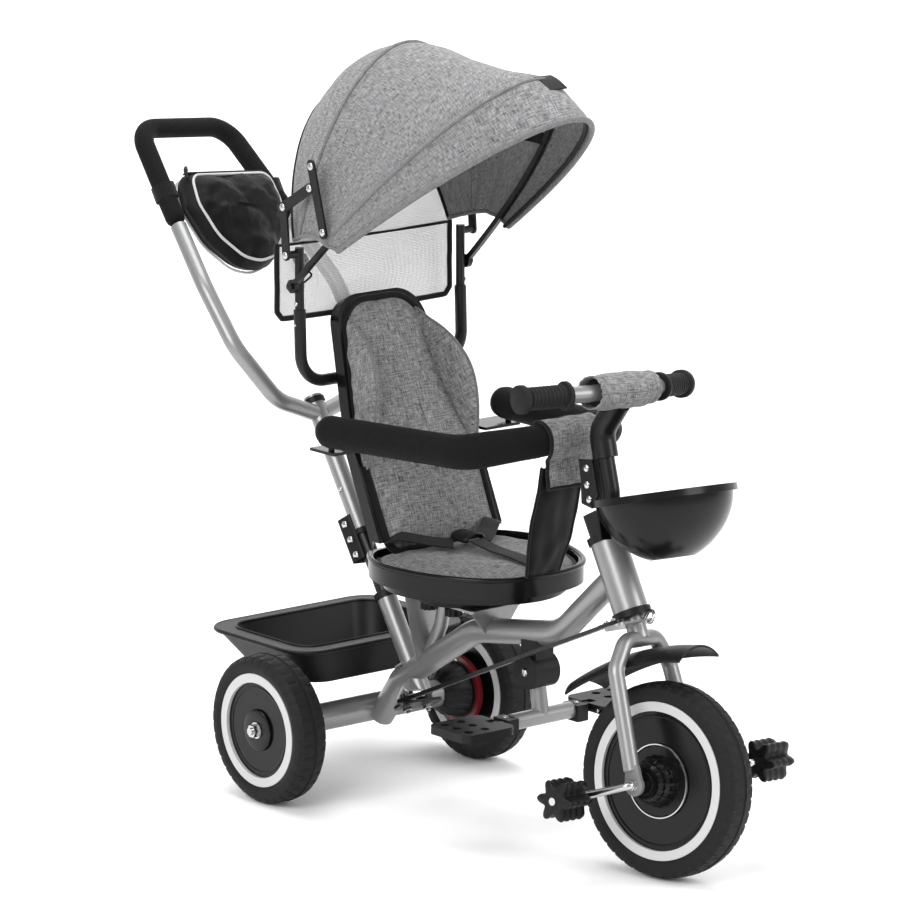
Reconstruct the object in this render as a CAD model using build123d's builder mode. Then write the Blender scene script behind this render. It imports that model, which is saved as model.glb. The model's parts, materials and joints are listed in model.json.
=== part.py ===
from build123d import *
from math import atan2, cos, degrees, radians, sin
import os

# Children's tricycle with a parent handle, a swivelling seat and a folding canopy.
# Millimetres. +X is forward, +Y is the rider's left, +Z is up, and the floor is Z = 0.
# Lengths along X are measured from the rear axle. Every finished piece is then moved, so that
# the origin lies on the floor below the middle of the tricycle's length.

# Driving dimensions
MIDDLE_X = 148  # rear axle to the middle of the length
RUNNING_FIT = 0.05  # radial clearance of a shaft in its bore
REST_TURN = 11  # the parked steering points this many degrees to the left

REAR_R = 100  # 8 inch rear wheels
FRONT_R = 125  # 10 inch front wheel
TYRE_WIDTH = 48
TRACK_HALF = 178
WHEELBASE = 597
RIM_DEPTH = 24  # tyre section height
RING_WIDTH = 12  # bright band on the wheel's face
AXLE_R = 5

MAIN_TUBE_R = 16.5
AXLE_TUBE_R = 18.5
AXLE_TUBE_HALF = 108
TUBE_WALL = 1.5

HEAD_FOOT = (520, 0, 329)  # lower end of the head tube
HEAD_TILT = 28.5
HEAD_LENGTH = 94
HEAD_R = 23
STEERER_R = 13

HANDLE_FOOT = (24, 0, 262)  # centre of the handle socket's mouth
HANDLE_TILT = 32.5
POST_R = 11
HANDLE_TUBE_R = 12.5
ARM_R = 11
FOAM_R = 13.5
LEVER_ARM = 40  # steering arm and handle lever, pivot to pivot

SEAT_X = 186  # swivel axis
SEAT_Z = 284
BACK_FOOT = (145, 0, 365)  # front face of the back cushion, at its foot
BACK_TILT = 24.5
BACK_LENGTH = 325
CANOPY_HINGE = (17, 0, 692)
POST_HALF = 136


def tilted(foot, tilt):
    """A plane whose normal leans back by the tilt, with its X axis pointing forward."""
    lean = radians(tilt)
    return Plane(foot, x_dir=(cos(lean), 0, sin(lean)), z_dir=(-sin(lean), 0, cos(lean)))


HEAD = tilted(HEAD_FOOT, HEAD_TILT)
HANDLE = tilted(HANDLE_FOOT, HANDLE_TILT)
BACK = tilted(BACK_FOOT, BACK_TILT)
STEERING_AXIS = Axis(HEAD_FOOT, HEAD.z_dir)
HANDLE_AXIS = Axis(HANDLE_FOOT, HANDLE.z_dir)


def finish(builder, label, axis=None):
    """Turn a steered piece to its parked angle, move the piece to the origin and write it."""
    piece = builder.part.rotate(axis, REST_TURN) if axis else builder.part
    piece = piece.moved(Location((-MIDDLE_X, 0, 0)))
    piece.label = label
    export_step(piece, f"parts/{label}.step")


def tube(points, radius, bend=0, wall=0, mode=Mode.ADD):
    """Sweep a round tube along straight runs joined by arcs."""
    with BuildLine() as path:
        if len(points) > 2:
            FilletPolyline(*points, radius=bend)
        else:
            Line(*points)
    with BuildSketch(Plane(path.line @ 0, z_dir=path.line % 0)) as section:
        Circle(radius)
        if wall:
            Circle(radius - wall, mode=Mode.SUBTRACT)
    sweep(section.sketch, path=path.line, mode=mode)


def ring(plane, outer, inner, start, end, mode=Mode.ADD):
    """A round collar along the plane's normal, from start to end."""
    with BuildSketch(plane.offset(start)) as section:
        Circle(outer)
        if inner:
            Circle(inner, mode=Mode.SUBTRACT)
    extrude(section.sketch, amount=end - start, mode=mode)


def mirrored(points):
    """The same path on the rider's other side, in reverse."""
    return [(x, -y, z) for x, y, z in reversed(points)]


def across(x, z, side=1):
    """A plane at (x, z) that faces sideways."""
    return Plane((x, 0, z), x_dir=(1, 0, 0), z_dir=(0, side, 0))


def local(plane, x, y, z):
    """A point given in the plane's own directions."""
    return plane.from_local_coords(Vector(x, y, z))


os.makedirs("parts", exist_ok=True)

# ---------------------------------------------------------------- wheels
# Each wheel is a tyre, a bright rim barrel and a black disc with a hub.


def tyre(x, y, radius):
    with BuildSketch(Plane((x, y, radius), x_dir=(1, 0, 0), z_dir=(0, 0, 1))) as section:
        with Locations((radius - RIM_DEPTH / 2, 0)):
            Rectangle(RIM_DEPTH, TYRE_WIDTH)
        fillet(section.vertices().group_by(Axis.X)[-1], 13)
    revolve(section.sketch, axis=Axis((x, y, radius), (0, 1, 0)))


def rim(x, y, radius):
    outer = radius - RIM_DEPTH
    ring(across(x, radius), outer, outer - RING_WIDTH, y - 21.5, y + 21.5)


def disc(x, y, radius, bore):
    outer = radius - RIM_DEPTH - RING_WIDTH
    plane = across(x, radius)
    ring(plane, outer, bore, y - 17, y + 17)
    ring(plane, 22, bore, y - 20, y + 20)


for side, name in ((-1, "right"), (1, "left")):
    y = side * TRACK_HALF
    with BuildPart() as rear_tyre:
        tyre(0, y, REAR_R)
    finish(rear_tyre, f"rear_tyre_{name}")

    with BuildPart() as rear_rim:
        rim(0, y, REAR_R)
    finish(rear_rim, f"rear_rim_{name}")

    with BuildPart() as rear_disc:
        disc(0, y, REAR_R, AXLE_R + RUNNING_FIT)
    finish(rear_disc, f"rear_disc_{name}")

with BuildPart() as front_tyre:
    tyre(WHEELBASE, 0, FRONT_R)
finish(front_tyre, "front_tyre", STEERING_AXIS)

with BuildPart() as front_rim:
    rim(WHEELBASE, 0, FRONT_R)
finish(front_rim, "front_rim", STEERING_AXIS)

with BuildPart() as front_disc:
    disc(WHEELBASE, 0, FRONT_R, AXLE_R)
    for side in (-1, 1):
        wheel_plane = across(WHEELBASE, FRONT_R, side)
        for start, end, outer in ((19, 30, 30), (29, 38, 26), (37, 47, 20)):
            ring(wheel_plane, outer, AXLE_R, start, end)
finish(front_disc, "front_disc", STEERING_AXIS)

# The crank axle turns with the front wheel and carries a bent crank on each side.
CRANK = (63, 23)  # reach of the left crank, forward and up
PEDAL_Y = 100

with BuildPart() as crank_axle:
    for side in (-1, 1):
        hub = (WHEELBASE, side * 1, FRONT_R)
        knee = (WHEELBASE, side * 78, FRONT_R)
        foot = (WHEELBASE + side * CRANK[0], side * 86, FRONT_R + side * CRANK[1])
        tip = (foot[0], side * 150, foot[2])
        tube([hub, knee, foot, tip], AXLE_R, bend=7)
    ring(across(WHEELBASE, FRONT_R), AXLE_R, 0, -2, 2)
finish(crank_axle, "crank_axle", STEERING_AXIS)

PEDAL_LOBES = 6
for side, name in ((-1, "right"), (1, "left")):
    pedal_x = WHEELBASE + side * CRANK[0]
    pedal_z = FRONT_R + side * CRANK[1]
    pedal_plane = across(pedal_x, pedal_z, side)
    with BuildPart() as pedal:
        with BuildSketch(pedal_plane.offset(PEDAL_Y)):
            with PolarLocations(17, PEDAL_LOBES):
                Circle(11)
            Circle(20)
            Circle(AXLE_R + RUNNING_FIT, mode=Mode.SUBTRACT)
        extrude(amount=48)
    finish(pedal, f"pedal_{name}", STEERING_AXIS)

# ---------------------------------------------------------------- frame
MAIN_PATH = [(16, 0, 90), (60, 0, 150), (215, 0, 246), (385, 0, 274), (488, 0, 366)]

with BuildPart() as main_tube:
    tube(MAIN_PATH, MAIN_TUBE_R, bend=(28, 100, 90))
    ring(across(0, REAR_R), AXLE_TUBE_R, 0, -30, 30, mode=Mode.SUBTRACT)
    ring(HEAD, HEAD_R, 0, -10, HEAD_LENGTH, mode=Mode.SUBTRACT)
    ring(HANDLE, POST_R + 2.5, 0, -165, 5, mode=Mode.SUBTRACT)
finish(main_tube, "main_tube")

with BuildPart() as axle_tube:
    ring(across(0, REAR_R), AXLE_TUBE_R, AXLE_TUBE_R - TUBE_WALL, -AXLE_TUBE_HALF, AXLE_TUBE_HALF)
finish(axle_tube, "axle_tube")

with BuildPart() as hub_cups:
    for side in (-1, 1):
        with BuildSketch(Plane((0, 0, REAR_R), x_dir=(0, side, 0), z_dir=(1, 0, 0))):
            Polygon(
                (AXLE_TUBE_HALF, AXLE_R),
                (AXLE_TUBE_HALF, 21),
                (AXLE_TUBE_HALF + 10, 30),
                (AXLE_TUBE_HALF + 34, 36),
                (AXLE_TUBE_HALF + 34, AXLE_R),
                align=None,
            )
        revolve(axis=Axis((0, 0, REAR_R), (0, 1, 0)))
finish(hub_cups, "hub_cups")

with BuildPart() as brake_drums:
    for side in (-1, 1):
        ring(across(0, REAR_R, side), 40, AXLE_R, AXLE_TUBE_HALF + 34, AXLE_TUBE_HALF + 44)
finish(brake_drums, "brake_drums")

with BuildPart() as rear_axle:
    ring(across(0, REAR_R), AXLE_R, 0, -TRACK_HALF - 33, TRACK_HALF + 33)
    for side in (-1, 1):
        face = across(0, REAR_R, side)
        ring(face, 11, 0, TRACK_HALF + 20.4, TRACK_HALF + 22.5)
        with BuildSketch(face.offset(TRACK_HALF + 22.5)):
            RegularPolygon(9, 6)
        extrude(amount=7.5)
finish(rear_axle, "rear_axle")

with BuildPart() as head_tube:
    ring(HEAD, HEAD_R, STEERER_R + 4, 0, HEAD_LENGTH)
finish(head_tube, "head_tube")

with BuildPart() as head_caps:
    for start, end in ((-9, 0), (HEAD_LENGTH, HEAD_LENGTH + 9)):
        ring(HEAD, HEAD_R + 2.5, STEERER_R + RUNNING_FIT, start, end)
finish(head_caps, "head_caps")

with BuildPart() as handle_socket:
    ring(HANDLE, POST_R + 2.5, POST_R + RUNNING_FIT, -150, 0)
finish(handle_socket, "handle_socket")

BRACKET_Z = SEAT_Z - 3
with BuildPart() as seat_brackets:
    with BuildSketch(Plane.XY.offset(BRACKET_Z)):
        with Locations((182, 0)):
            RectangleRounded(148, 84, 6)
    extrude(amount=3)
    for x, foot_half, depth in ((114, 22, 92), (250, 9, 40)):
        with BuildSketch(Plane((x, 0, BRACKET_Z), x_dir=(0, 1, 0), z_dir=(1, 0, 0))):
            Polygon((-40, 0), (40, 0), (foot_half, -depth), (-foot_half, -depth), align=None)
        extrude(amount=3)
    tube(MAIN_PATH, MAIN_TUBE_R, bend=(28, 100, 90), mode=Mode.SUBTRACT)
finish(seat_brackets, "seat_brackets")

with BuildPart() as seat_knobs:
    for x, y in ((150, -27), (200, -27)):
        knob_plane = Plane((x, y, BRACKET_Z), z_dir=(0, 0, -1))
        ring(knob_plane, 4, 0, 0, 4)
        with BuildSketch(knob_plane.offset(4)):
            Circle(10)
            with PolarLocations(10, 10):
                Circle(2)
        extrude(amount=10)
finish(seat_knobs, "seat_knobs")

# Rear tray: an open moulded box with a wide rim, behind the frame tubes.
TRAY_Z = 200
with BuildPart() as rear_tray:
    with BuildSketch(Plane.XY.offset(TRAY_Z)):
        with Locations((-78, 0)):
            RectangleRounded(216, 290, 42)
    with BuildSketch(Plane.XY.offset(TRAY_Z - 52)):
        with Locations((-70, 0)):
            RectangleRounded(150, 220, 34)
    loft()
    with BuildSketch(Plane.XY.offset(TRAY_Z)):
        with Locations((-78, 0)):
            RectangleRounded(170, 244, 30)
    with BuildSketch(Plane.XY.offset(TRAY_Z - 48)):
        with Locations((-70, 0)):
            RectangleRounded(142, 212, 30)
    loft(mode=Mode.SUBTRACT)
finish(rear_tray, "rear_tray")

# Footrest: a clamp under the main tube, a stem with a crossbar and two folding plates.
REST_X, REST_Z = 345, 156
REST_R = 11
PLATE_HINGE_Y = 62
with BuildPart() as footrest_clamp:
    ring(across(REST_X - 8, 216), 23, 0, -20, 20)
    with Locations((REST_X - 8, 0, 243)):
        Box(30, 30, 30)
    tube(MAIN_PATH, MAIN_TUBE_R, bend=(28, 100, 90), mode=Mode.SUBTRACT)
finish(footrest_clamp, "footrest_clamp")

with BuildPart() as footrest_stem:
    tube([(REST_X, 0, REST_Z), (REST_X - 8, 0, 205)], REST_R)
    ring(across(REST_X, REST_Z), REST_R, 0, -PLATE_HINGE_Y + 12, PLATE_HINGE_Y - 12)
    ring(across(REST_X - 8, 216), 23, 0, -20, 20, mode=Mode.SUBTRACT)
finish(footrest_stem, "footrest_stem")

with BuildPart() as plate_hinges:
    for side in (-1, 1):
        with Locations((REST_X, side * (PLATE_HINGE_Y - 3), REST_Z - 3)):
            Box(30, 18, 22)
        with Locations((REST_X, side * (PLATE_HINGE_Y + 8), REST_Z)):
            Box(12, 26, 10)
        pin = Plane((REST_X, side * (PLATE_HINGE_Y + 14), REST_Z), z_dir=(1, 0, 0))
        ring(pin, 3, 0, -26, 26)
finish(plate_hinges, "plate_hinges")

for side, name in ((-1, "right"), (1, "left")):
    hinge_y = side * (PLATE_HINGE_Y + 14)
    with BuildPart() as foot_plate:
        with BuildSketch(Plane.XY.offset(REST_Z - 4)):
            with Locations((REST_X, side * (PLATE_HINGE_Y + 54))):
                RectangleRounded(80, 84, 12)
            with Locations((REST_X, side * (PLATE_HINGE_Y + 66))):
                with GridLocations(24, 26, 3, 2):
                    Circle(6, mode=Mode.SUBTRACT)
        extrude(amount=11)
        with Locations((REST_X, side * (PLATE_HINGE_Y + 12), REST_Z)):
            Box(14, 30, 24, mode=Mode.SUBTRACT)
        pin = Plane((REST_X, hinge_y, REST_Z), z_dir=(1, 0, 0))
        ring(pin, 3 + RUNNING_FIT, 0, -60, 60, mode=Mode.SUBTRACT)
    finish(foot_plate, f"foot_plate_{name}")

# Brake pedals hang behind the rear axle, inside the wheels.
for side, name in ((-1, "right"), (1, "left")):
    lever_plane = across(0, REAR_R, side)
    lever_y = AXLE_TUBE_HALF + 35
    with BuildPart() as brake_pedal:
        ring(lever_plane, 47, 40 + RUNNING_FIT, lever_y, lever_y + 8)
        with BuildSketch(lever_plane.offset(lever_y)):
            with Locations((-62, 0)):
                Rectangle(36, 14)
        extrude(amount=8)
        with Locations((-74, side * (lever_y - 10), REAR_R + 2)):
            Box(26, 36, 6)
    finish(brake_pedal, f"brake_pedal_{name}")

# ---------------------------------------------------------------- steering
CROWN_Z = -38  # below the head tube's foot, along the steering axis
EYE_WEB = [(-15, 26), (-14, 0), (14, 0), (4, 26)]
FORK_SIDE = [(590, -64, 142), (545, -54, 262), (538, -30, 296)]

with BuildPart() as fork:
    tube(FORK_SIDE + mirrored(FORK_SIDE), 10.5, bend=(24, 18, 18, 24))
    ring(HEAD, STEERER_R, 0, CROWN_Z, HEAD_LENGTH + 9)
    for side in (-1, 1):
        with BuildSketch(across(WHEELBASE, FRONT_R, side).offset(63)):
            with BuildLine():
                Polyline(*[(x, -side * z) for x, z in EYE_WEB], close=True)
            make_face()
            Circle(14)
            Circle(AXLE_R + RUNNING_FIT, mode=Mode.SUBTRACT)
        extrude(amount=5)
    ring(across(WHEELBASE, FRONT_R), 13, 0, -62, 62, mode=Mode.SUBTRACT)
finish(fork, "fork", STEERING_AXIS)

with BuildPart() as mudguard:
    with BuildLine() as spine:
        ThreePointArc((444, 0, 228), (540, 0, 281), (632, 0, 304))
    with BuildSketch(Plane(spine.line @ 0, x_dir=(0, 1, 0), z_dir=spine.line % 0)):
        with BuildLine():
            ThreePointArc((-40, -16), (0, 0), (40, -16))
            Line((40, -16), (40, -19))
            ThreePointArc((40, -19), (0, -3), (-40, -19))
            Line((-40, -19), (-40, -16))
        make_face()
    sweep(path=spine.line)
    tube(FORK_SIDE + mirrored(FORK_SIDE), 11, bend=(24, 18, 18, 24), mode=Mode.SUBTRACT)
finish(mudguard, "mudguard", STEERING_AXIS)

with BuildPart() as steering_arm:
    with BuildSketch(HEAD.offset(-19)):
        with Locations((0, -12)):
            RectangleRounded(30, 76, 10)
        Circle(STEERER_R, mode=Mode.SUBTRACT)
    extrude(amount=3)
    arm_pin = Plane(local(HEAD, 0, -LEVER_ARM, -19), z_dir=HEAD.z_dir)
    ring(arm_pin, 3.5, 0, 0, 12)
finish(steering_arm, "steering_arm", STEERING_AXIS)

STEM_PATH = [(468, 0, 432), (477, 0, 470), (462, 0, 518)]
NECK_PATH = [(462, 0, 517), (452, 0, 550), (476, 0, 590)]
with BuildPart() as stem:
    tube(STEM_PATH, 11, bend=40)
    tube(NECK_PATH, 16.5, bend=30)
    with BuildSketch(HEAD.offset(HEAD_LENGTH + 9.5)):
        with Locations((8, 0)):
            RectangleRounded(48, 36, 8)
    extrude(amount=30)
finish(stem, "stem", STEERING_AXIS)

PLATE_CORNERS = [(430, 512), (452, 514), (466, 470), (458, 452), (440, 456), (436, 486)]
with BuildPart() as latch_plates:
    for side in (-1, 1):
        with BuildSketch(across(0, 0, side).offset(12.5)):
            with BuildLine():
                Polyline(*[(x, -side * z) for x, z in PLATE_CORNERS], close=True)
            make_face()
        extrude(amount=3)
finish(latch_plates, "latch_plates", STEERING_AXIS)

BAR_X, BAR_Z = 482, 606
BAR_R = 11
GRIP_START = 92
GRIP_END = 165
BAR_SWEEP = (449, 600)  # x and z of the bar's ends, swept back
bar_side = [(BAR_SWEEP[0], -GRIP_END + 4, BAR_SWEEP[1]), (BAR_X, -26, BAR_Z)]
with BuildPart() as handlebar:
    tube(bar_side + mirrored(bar_side), BAR_R, bend=60, wall=TUBE_WALL)
finish(handlebar, "handlebar", STEERING_AXIS)

with BuildPart() as grips:
    for side in (-1, 1):
        bar_end = Vector(BAR_SWEEP[0], side * (GRIP_END - 4), BAR_SWEEP[1])
        inward = Vector(BAR_X, side * 26, BAR_Z) - bar_end
        grip_plane = Plane(bar_end, z_dir=inward)
        ring(grip_plane, 14.5, BAR_R, 0, GRIP_END - GRIP_START)
        for start in (0, GRIP_END - GRIP_START - 7):
            ring(grip_plane, 18.5, BAR_R, start, start + 7)
        ring(grip_plane, 18.5, 0, -4, 0)
finish(grips, "grips", STEERING_AXIS)

with BuildPart() as bar_sleeve:
    tube([(BAR_X - 2, -62, BAR_Z), (BAR_X - 2, 62, BAR_Z)], 21)
    tube(bar_side + mirrored(bar_side), BAR_R, bend=60, mode=Mode.SUBTRACT)
    tube(NECK_PATH, 16.5, bend=30, mode=Mode.SUBTRACT)
finish(bar_sleeve, "bar_sleeve", STEERING_AXIS)

# Front basket: a half bowl with a rolled rim, flat against the stem.
BASKET = tilted((560, 0, 484), 15)
BASKET_SLICES = ((0, 80, 98), (-30, 74, 90), (-60, 54, 66), (-80, 26, 32))
BASKET_WALL = 2.5
BASKET_BACK = -64

with BuildPart() as basket:
    for depth, reach, half in BASKET_SLICES:
        with BuildSketch(BASKET.offset(depth)):
            Ellipse(reach, half)
    loft()
    for depth, reach, half in BASKET_SLICES:
        with BuildSketch(BASKET.offset(depth + BASKET_WALL)):
            Ellipse(reach - BASKET_WALL, half - BASKET_WALL)
    loft(mode=Mode.SUBTRACT)
    with BuildSketch(BASKET.offset(-5)):
        Ellipse(86, 104)
        Ellipse(77, 95, mode=Mode.SUBTRACT)
    extrude(amount=9)
    with BuildSketch(BASKET.offset(-90)):
        with Locations((BASKET_BACK - 20, 0)):
            Rectangle(40, 240)
    extrude(amount=110, mode=Mode.SUBTRACT)
    with BuildSketch(BASKET.offset(-46)):
        with Locations((BASKET_BACK + 1.5, 0)):
            Rectangle(3, 120)
    extrude(amount=50)
finish(basket, "basket", STEERING_AXIS)

# ---------------------------------------------------------------- parent handle
# Heights along the handle's own axis, from the socket's mouth.
POST_TOP = 110
TUBE_FOOT = 86
COLLAR_TOP = 286
LEVER_TOP = -158
ARM_SIDE = [(-8, 262, 0), (-78, 282, 6), (-126, 360, 10), (-130, 455, 0), (-114, 552, -20)]
LOOP_SIDE = [(-114, 552.5, -20), (-104, 612, -32), (-86, 712, -52)]


def handle_points(points):
    """Handle coordinates (sideways, up the axis, forward) turned into frame coordinates."""
    return [tuple(local(HANDLE, forward, y, up)) for y, up, forward in points]


with BuildPart() as handle_post:
    ring(HANDLE, POST_R, 0, LEVER_TOP, POST_TOP)
finish(handle_post, "handle_post", HANDLE_AXIS)

with BuildPart() as handle_tube:
    ring(HANDLE, HANDLE_TUBE_R, POST_R, TUBE_FOOT, COLLAR_TOP)
finish(handle_tube, "handle_tube", HANDLE_AXIS)

with BuildPart() as handle_latch:
    with BuildSketch(HANDLE.offset(52)):
        with Locations((-12, 0)):
            RectangleRounded(26, 30, 5)
        Circle(HANDLE_TUBE_R, mode=Mode.SUBTRACT)
    extrude(amount=62)
finish(handle_latch, "handle_latch", HANDLE_AXIS)

with BuildPart() as handle_arms:
    for side in (1, -1):
        path = [(side * y, up, forward) for y, up, forward in ARM_SIDE]
        tube(handle_points(path), ARM_R, bend=(45, 62, 110))
    ring(HANDLE, HANDLE_TUBE_R, 0, 200, COLLAR_TOP + 1, mode=Mode.SUBTRACT)
finish(handle_arms, "handle_arms", HANDLE_AXIS)

loop_other = [(-y, up, forward) for y, up, forward in reversed(LOOP_SIDE)]
with BuildPart() as foam_loop:
    tube(handle_points(LOOP_SIDE + loop_other), FOAM_R, bend=(100, 38, 38, 100))
finish(foam_loop, "foam_loop", HANDLE_AXIS)

# Bag: a half-round pouch slung between the arms.
BAG_FRONT = 14
BAG_DEPTH = 62
bag_plane = Plane(local(HANDLE, BAG_FRONT, 0, 622), x_dir=(0, -1, 0), z_dir=-HANDLE.x_dir)
with BuildPart() as bag:
    with BuildSketch(bag_plane):
        with BuildLine():
            Polyline((-84, 0), (84, 0), (90, -44))
            ThreePointArc((90, -44), (0, -146), (-90, -44))
            Line((-90, -44), (-84, 0))
        make_face()
    extrude(amount=BAG_DEPTH)
    fillet(bag.faces().sort_by(Axis.X)[0].edges(), 14)
finish(bag, "bag", HANDLE_AXIS)

with BuildPart() as lever_plate:
    with BuildSketch(HANDLE.offset(LEVER_TOP - 4)):
        with Locations((0, -LEVER_ARM / 2 + 4)):
            RectangleRounded(26, 84, 12.5)
    extrude(amount=4)
    rod_pin = Plane(local(HANDLE, 0, -LEVER_ARM, LEVER_TOP), z_dir=HANDLE.z_dir)
    ring(rod_pin, 3.5, 0, 0, 13)
finish(lever_plate, "lever_plate", HANDLE_AXIS)

# Steering rod: a long flat bar from the lever to the steering arm. It shifts sideways as the
# two arms turn, so its ends are placed at the parked angle of the arms.
ROD_WIDTH, ROD_DEPTH = 12, 5
rod_front = local(HEAD, 0, -LEVER_ARM, -14.9)
rod_rear = local(HANDLE, 0, -LEVER_ARM, LEVER_TOP + 3)
rod_front = Vertex(*rod_front).rotate(STEERING_AXIS, REST_TURN).center()
rod_rear = Vertex(*rod_rear).rotate(HANDLE_AXIS, REST_TURN).center()
with BuildPart() as steering_rod:
    rod_line = rod_rear - rod_front
    rod_up = STEERING_AXIS.direction
    rod_face = Plane(rod_front, x_dir=rod_line, z_dir=rod_up.cross(rod_line).cross(rod_line) * -1)
    with BuildSketch(rod_face):
        with Locations((rod_line.length / 2, 0)):
            SlotOverall(rod_line.length + 2 * ROD_WIDTH - 4, ROD_WIDTH + 8)
        with Locations((rod_line.length / 2, 0)):
            with GridLocations(0, ROD_WIDTH + 8, 1, 2):
                Rectangle(rod_line.length - 44, 8, mode=Mode.SUBTRACT)
    extrude(amount=ROD_DEPTH)
    ring(Plane(rod_front, z_dir=rod_up), 3.5 + RUNNING_FIT, 0, -20, 20, mode=Mode.SUBTRACT)
    ring(Plane(rod_rear, z_dir=HANDLE_AXIS.direction), 6.5, 0, -20, 20, mode=Mode.SUBTRACT)
finish(steering_rod, "steering_rod")

# ---------------------------------------------------------------- seat
with BuildPart() as swivel_base:
    ring(Plane((SEAT_X, 0, SEAT_Z)), 60, 0, 0, 8)
finish(swivel_base, "swivel_base")

PAN_Z = 308


def pan_outline(grow):
    """Plan of the seat pan: wide and round behind, narrower at the front lip."""
    with BuildSketch(Plane.XY) as outline:
        with BuildLine():
            Spline(
                (96 - grow, 0),
                (104 - grow, 84 + grow),
                (170, 130 + grow),
                (262, 122 + grow),
                (336 + grow, 78 + grow),
                (358 + grow, 0),
                (336 + grow, -78 - grow),
                (262, -122 - grow),
                (170, -130 - grow),
                (104 - grow, -84 - grow),
                periodic=True,
            )
        make_face()
    return outline.sketch


with BuildPart() as swivel_latch:
    with Locations((SEAT_X + 59, 14, PAN_Z - 9)):
        Box(20, 34, 8)
finish(swivel_latch, "swivel_latch")

# The back is a tray that opens forward; heights run along the leaning back.
back_face = Plane(BACK_FOOT, x_dir=(0, 1, 0), z_dir=BACK.x_dir)
SHELL_DEPTH = 22
GUARD_PIVOT = (100, 150)
GUARD_R = 22
GUARD_Z = 511


def back_outline(grow, depth):
    """The back seen from the front: straight sides that narrow to a round head."""
    with BuildSketch(back_face.offset(depth)) as outline:
        with BuildLine():
            half = 96 + grow
            head = 58 + grow
            top = BACK_LENGTH + grow
            FilletPolyline(
                (half, -24 - grow),
                (half, 130),
                (head, top),
                (-head, top),
                (-half, 130),
                (-half, -24 - grow),
                radius=(12, 60, 42, 42, 60, 12),
                close=True,
            )
        make_face()
    return outline.sketch


with BuildPart() as seat_shell:
    ring(Plane((SEAT_X, 0, SEAT_Z)), 46, 0, 8.4, PAN_Z - SEAT_Z + 2)
    extrude(pan_outline(-16).moved(Location((0, 0, PAN_Z))), amount=14)
    extrude(pan_outline(0).moved(Location((0, 0, PAN_Z + 12))), amount=26)
    extrude(back_outline(8, -SHELL_DEPTH), amount=SHELL_DEPTH - 3)
    extrude(pan_outline(-5).moved(Location((0, 0, PAN_Z + 16))), amount=40, mode=Mode.SUBTRACT)
    extrude(back_outline(0, -SHELL_DEPTH + 5), amount=SHELL_DEPTH + 20, mode=Mode.SUBTRACT)
    for side in (-1, 1):
        with Locations((90, side * 128, GUARD_Z - 26)):
            Box(50, 60, 4)
        pivot = Plane((GUARD_PIVOT[0], side * GUARD_PIVOT[1], GUARD_Z - 25))
        ring(pivot, 4, 0, 0, 32)
    ring(across(20, 562), 8, 0, -120, 120, mode=Mode.SUBTRACT)
finish(seat_shell, "seat_shell")

with BuildPart() as seat_cushion:
    extrude(pan_outline(-9).moved(Location((0, 0, PAN_Z + 16.5))), amount=30)
    extrude(back_outline(8, -80), amount=81, mode=Mode.SUBTRACT)
finish(seat_cushion, "seat_cushion")

# Each side wing stands forward from the edge of the back: reach forward, height along the edge.
WING = [(-6, -14), (34, 20), (52, 66), (40, 110), (-6, 166)]
with BuildPart() as back_cushion:
    extrude(back_outline(-1, -16), amount=16)
    for side in (-1, 1):
        edge = BACK.z_dir * 195 - Vector(0, 38 * side, 0)
        root = local(BACK, 0, side * 87, 130)
        with BuildSketch(Plane(root, x_dir=BACK.x_dir, z_dir=BACK.x_dir.cross(edge))):
            with BuildLine():
                Spline(*WING)
                Line(WING[-1], WING[0])
            make_face()
        extrude(amount=6, both=True)
    extrude(pan_outline(6).moved(Location((0, 0, PAN_Z - 20))), amount=60, mode=Mode.SUBTRACT)
finish(back_cushion, "back_cushion")

# Guard ring: two foam-covered halves that swing open about pins beside the seat back.
for side, name in ((-1, "right"), (1, "left")):
    guard_path = [(80, 150, 511), (330, 120, 518), (392, 62, 534), (392, 1.5, 534)]
    with BuildPart() as guard:
        tube([(x, side * y, z) for x, y, z in guard_path], GUARD_R, bend=(70, 50))
        pivot = Plane((GUARD_PIVOT[0], side * GUARD_PIVOT[1], GUARD_Z - 30))
        ring(pivot, 4 + RUNNING_FIT, 0, 0, 38, mode=Mode.SUBTRACT)
    finish(guard, f"guard_{name}")

# The flap lies over the ring's front and carries the panel that runs down to the seat.
with BuildPart() as guard_flap:
    with BuildSketch(across(392, 534, -1).offset(-41)):
        with BuildLine():
            inner, outer = GUARD_R + 0.6, GUARD_R + 4.6
            CenterArc((0, 0), inner, -60, 150)
            CenterArc((0, 0), outer, -60, 150)
            Line((0, inner), (0, outer))
            Line((inner / 2, -inner * sin(radians(60))), (outer / 2, -outer * sin(radians(60))))
        make_face()
    extrude(amount=80)
    with BuildSketch(across(0, 0, -1).offset(-41)):
        Polygon((403.3, 514.4), (405.3, 511), (409, 480), (405, 480), align=None)
    extrude(amount=80)
    with BuildSketch(across(0, 0, -1).offset(-12)):
        Polygon((404, 500), (408, 500), (370, 350), (366, 350), align=None)
    extrude(amount=60)
finish(guard_flap, "guard_flap")

# ---------------------------------------------------------------- canopy
# The hood fans out about the canopy hinge. Each slice has an angle from upright, positive
# forward, and a reach from the hinge line to the top of the arch.
HOOD_WALL = 4
REAR_SLICES = ((-17, 248), (-3, 290), (10, 311))
FRONT_SLICES = ((10.6, 320), (26, 345), (38, 376), (47, 434), (54, 464), (61, 491))
REAR_HALF = 138
FRONT_HALF = 155
HOOP_HALF = 150
HEM = Plane((-15, 0, 745), x_dir=(0, 1, 0), z_dir=(-sin(radians(18)), 0, cos(radians(18))))


def fan(angle):
    """A plane through the canopy hinge, with its Y axis pointing up along the slice."""
    lean = radians(angle)
    return Plane(CANOPY_HINGE, x_dir=(0, 1, 0), z_dir=(cos(lean), 0, -sin(lean)))


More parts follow.
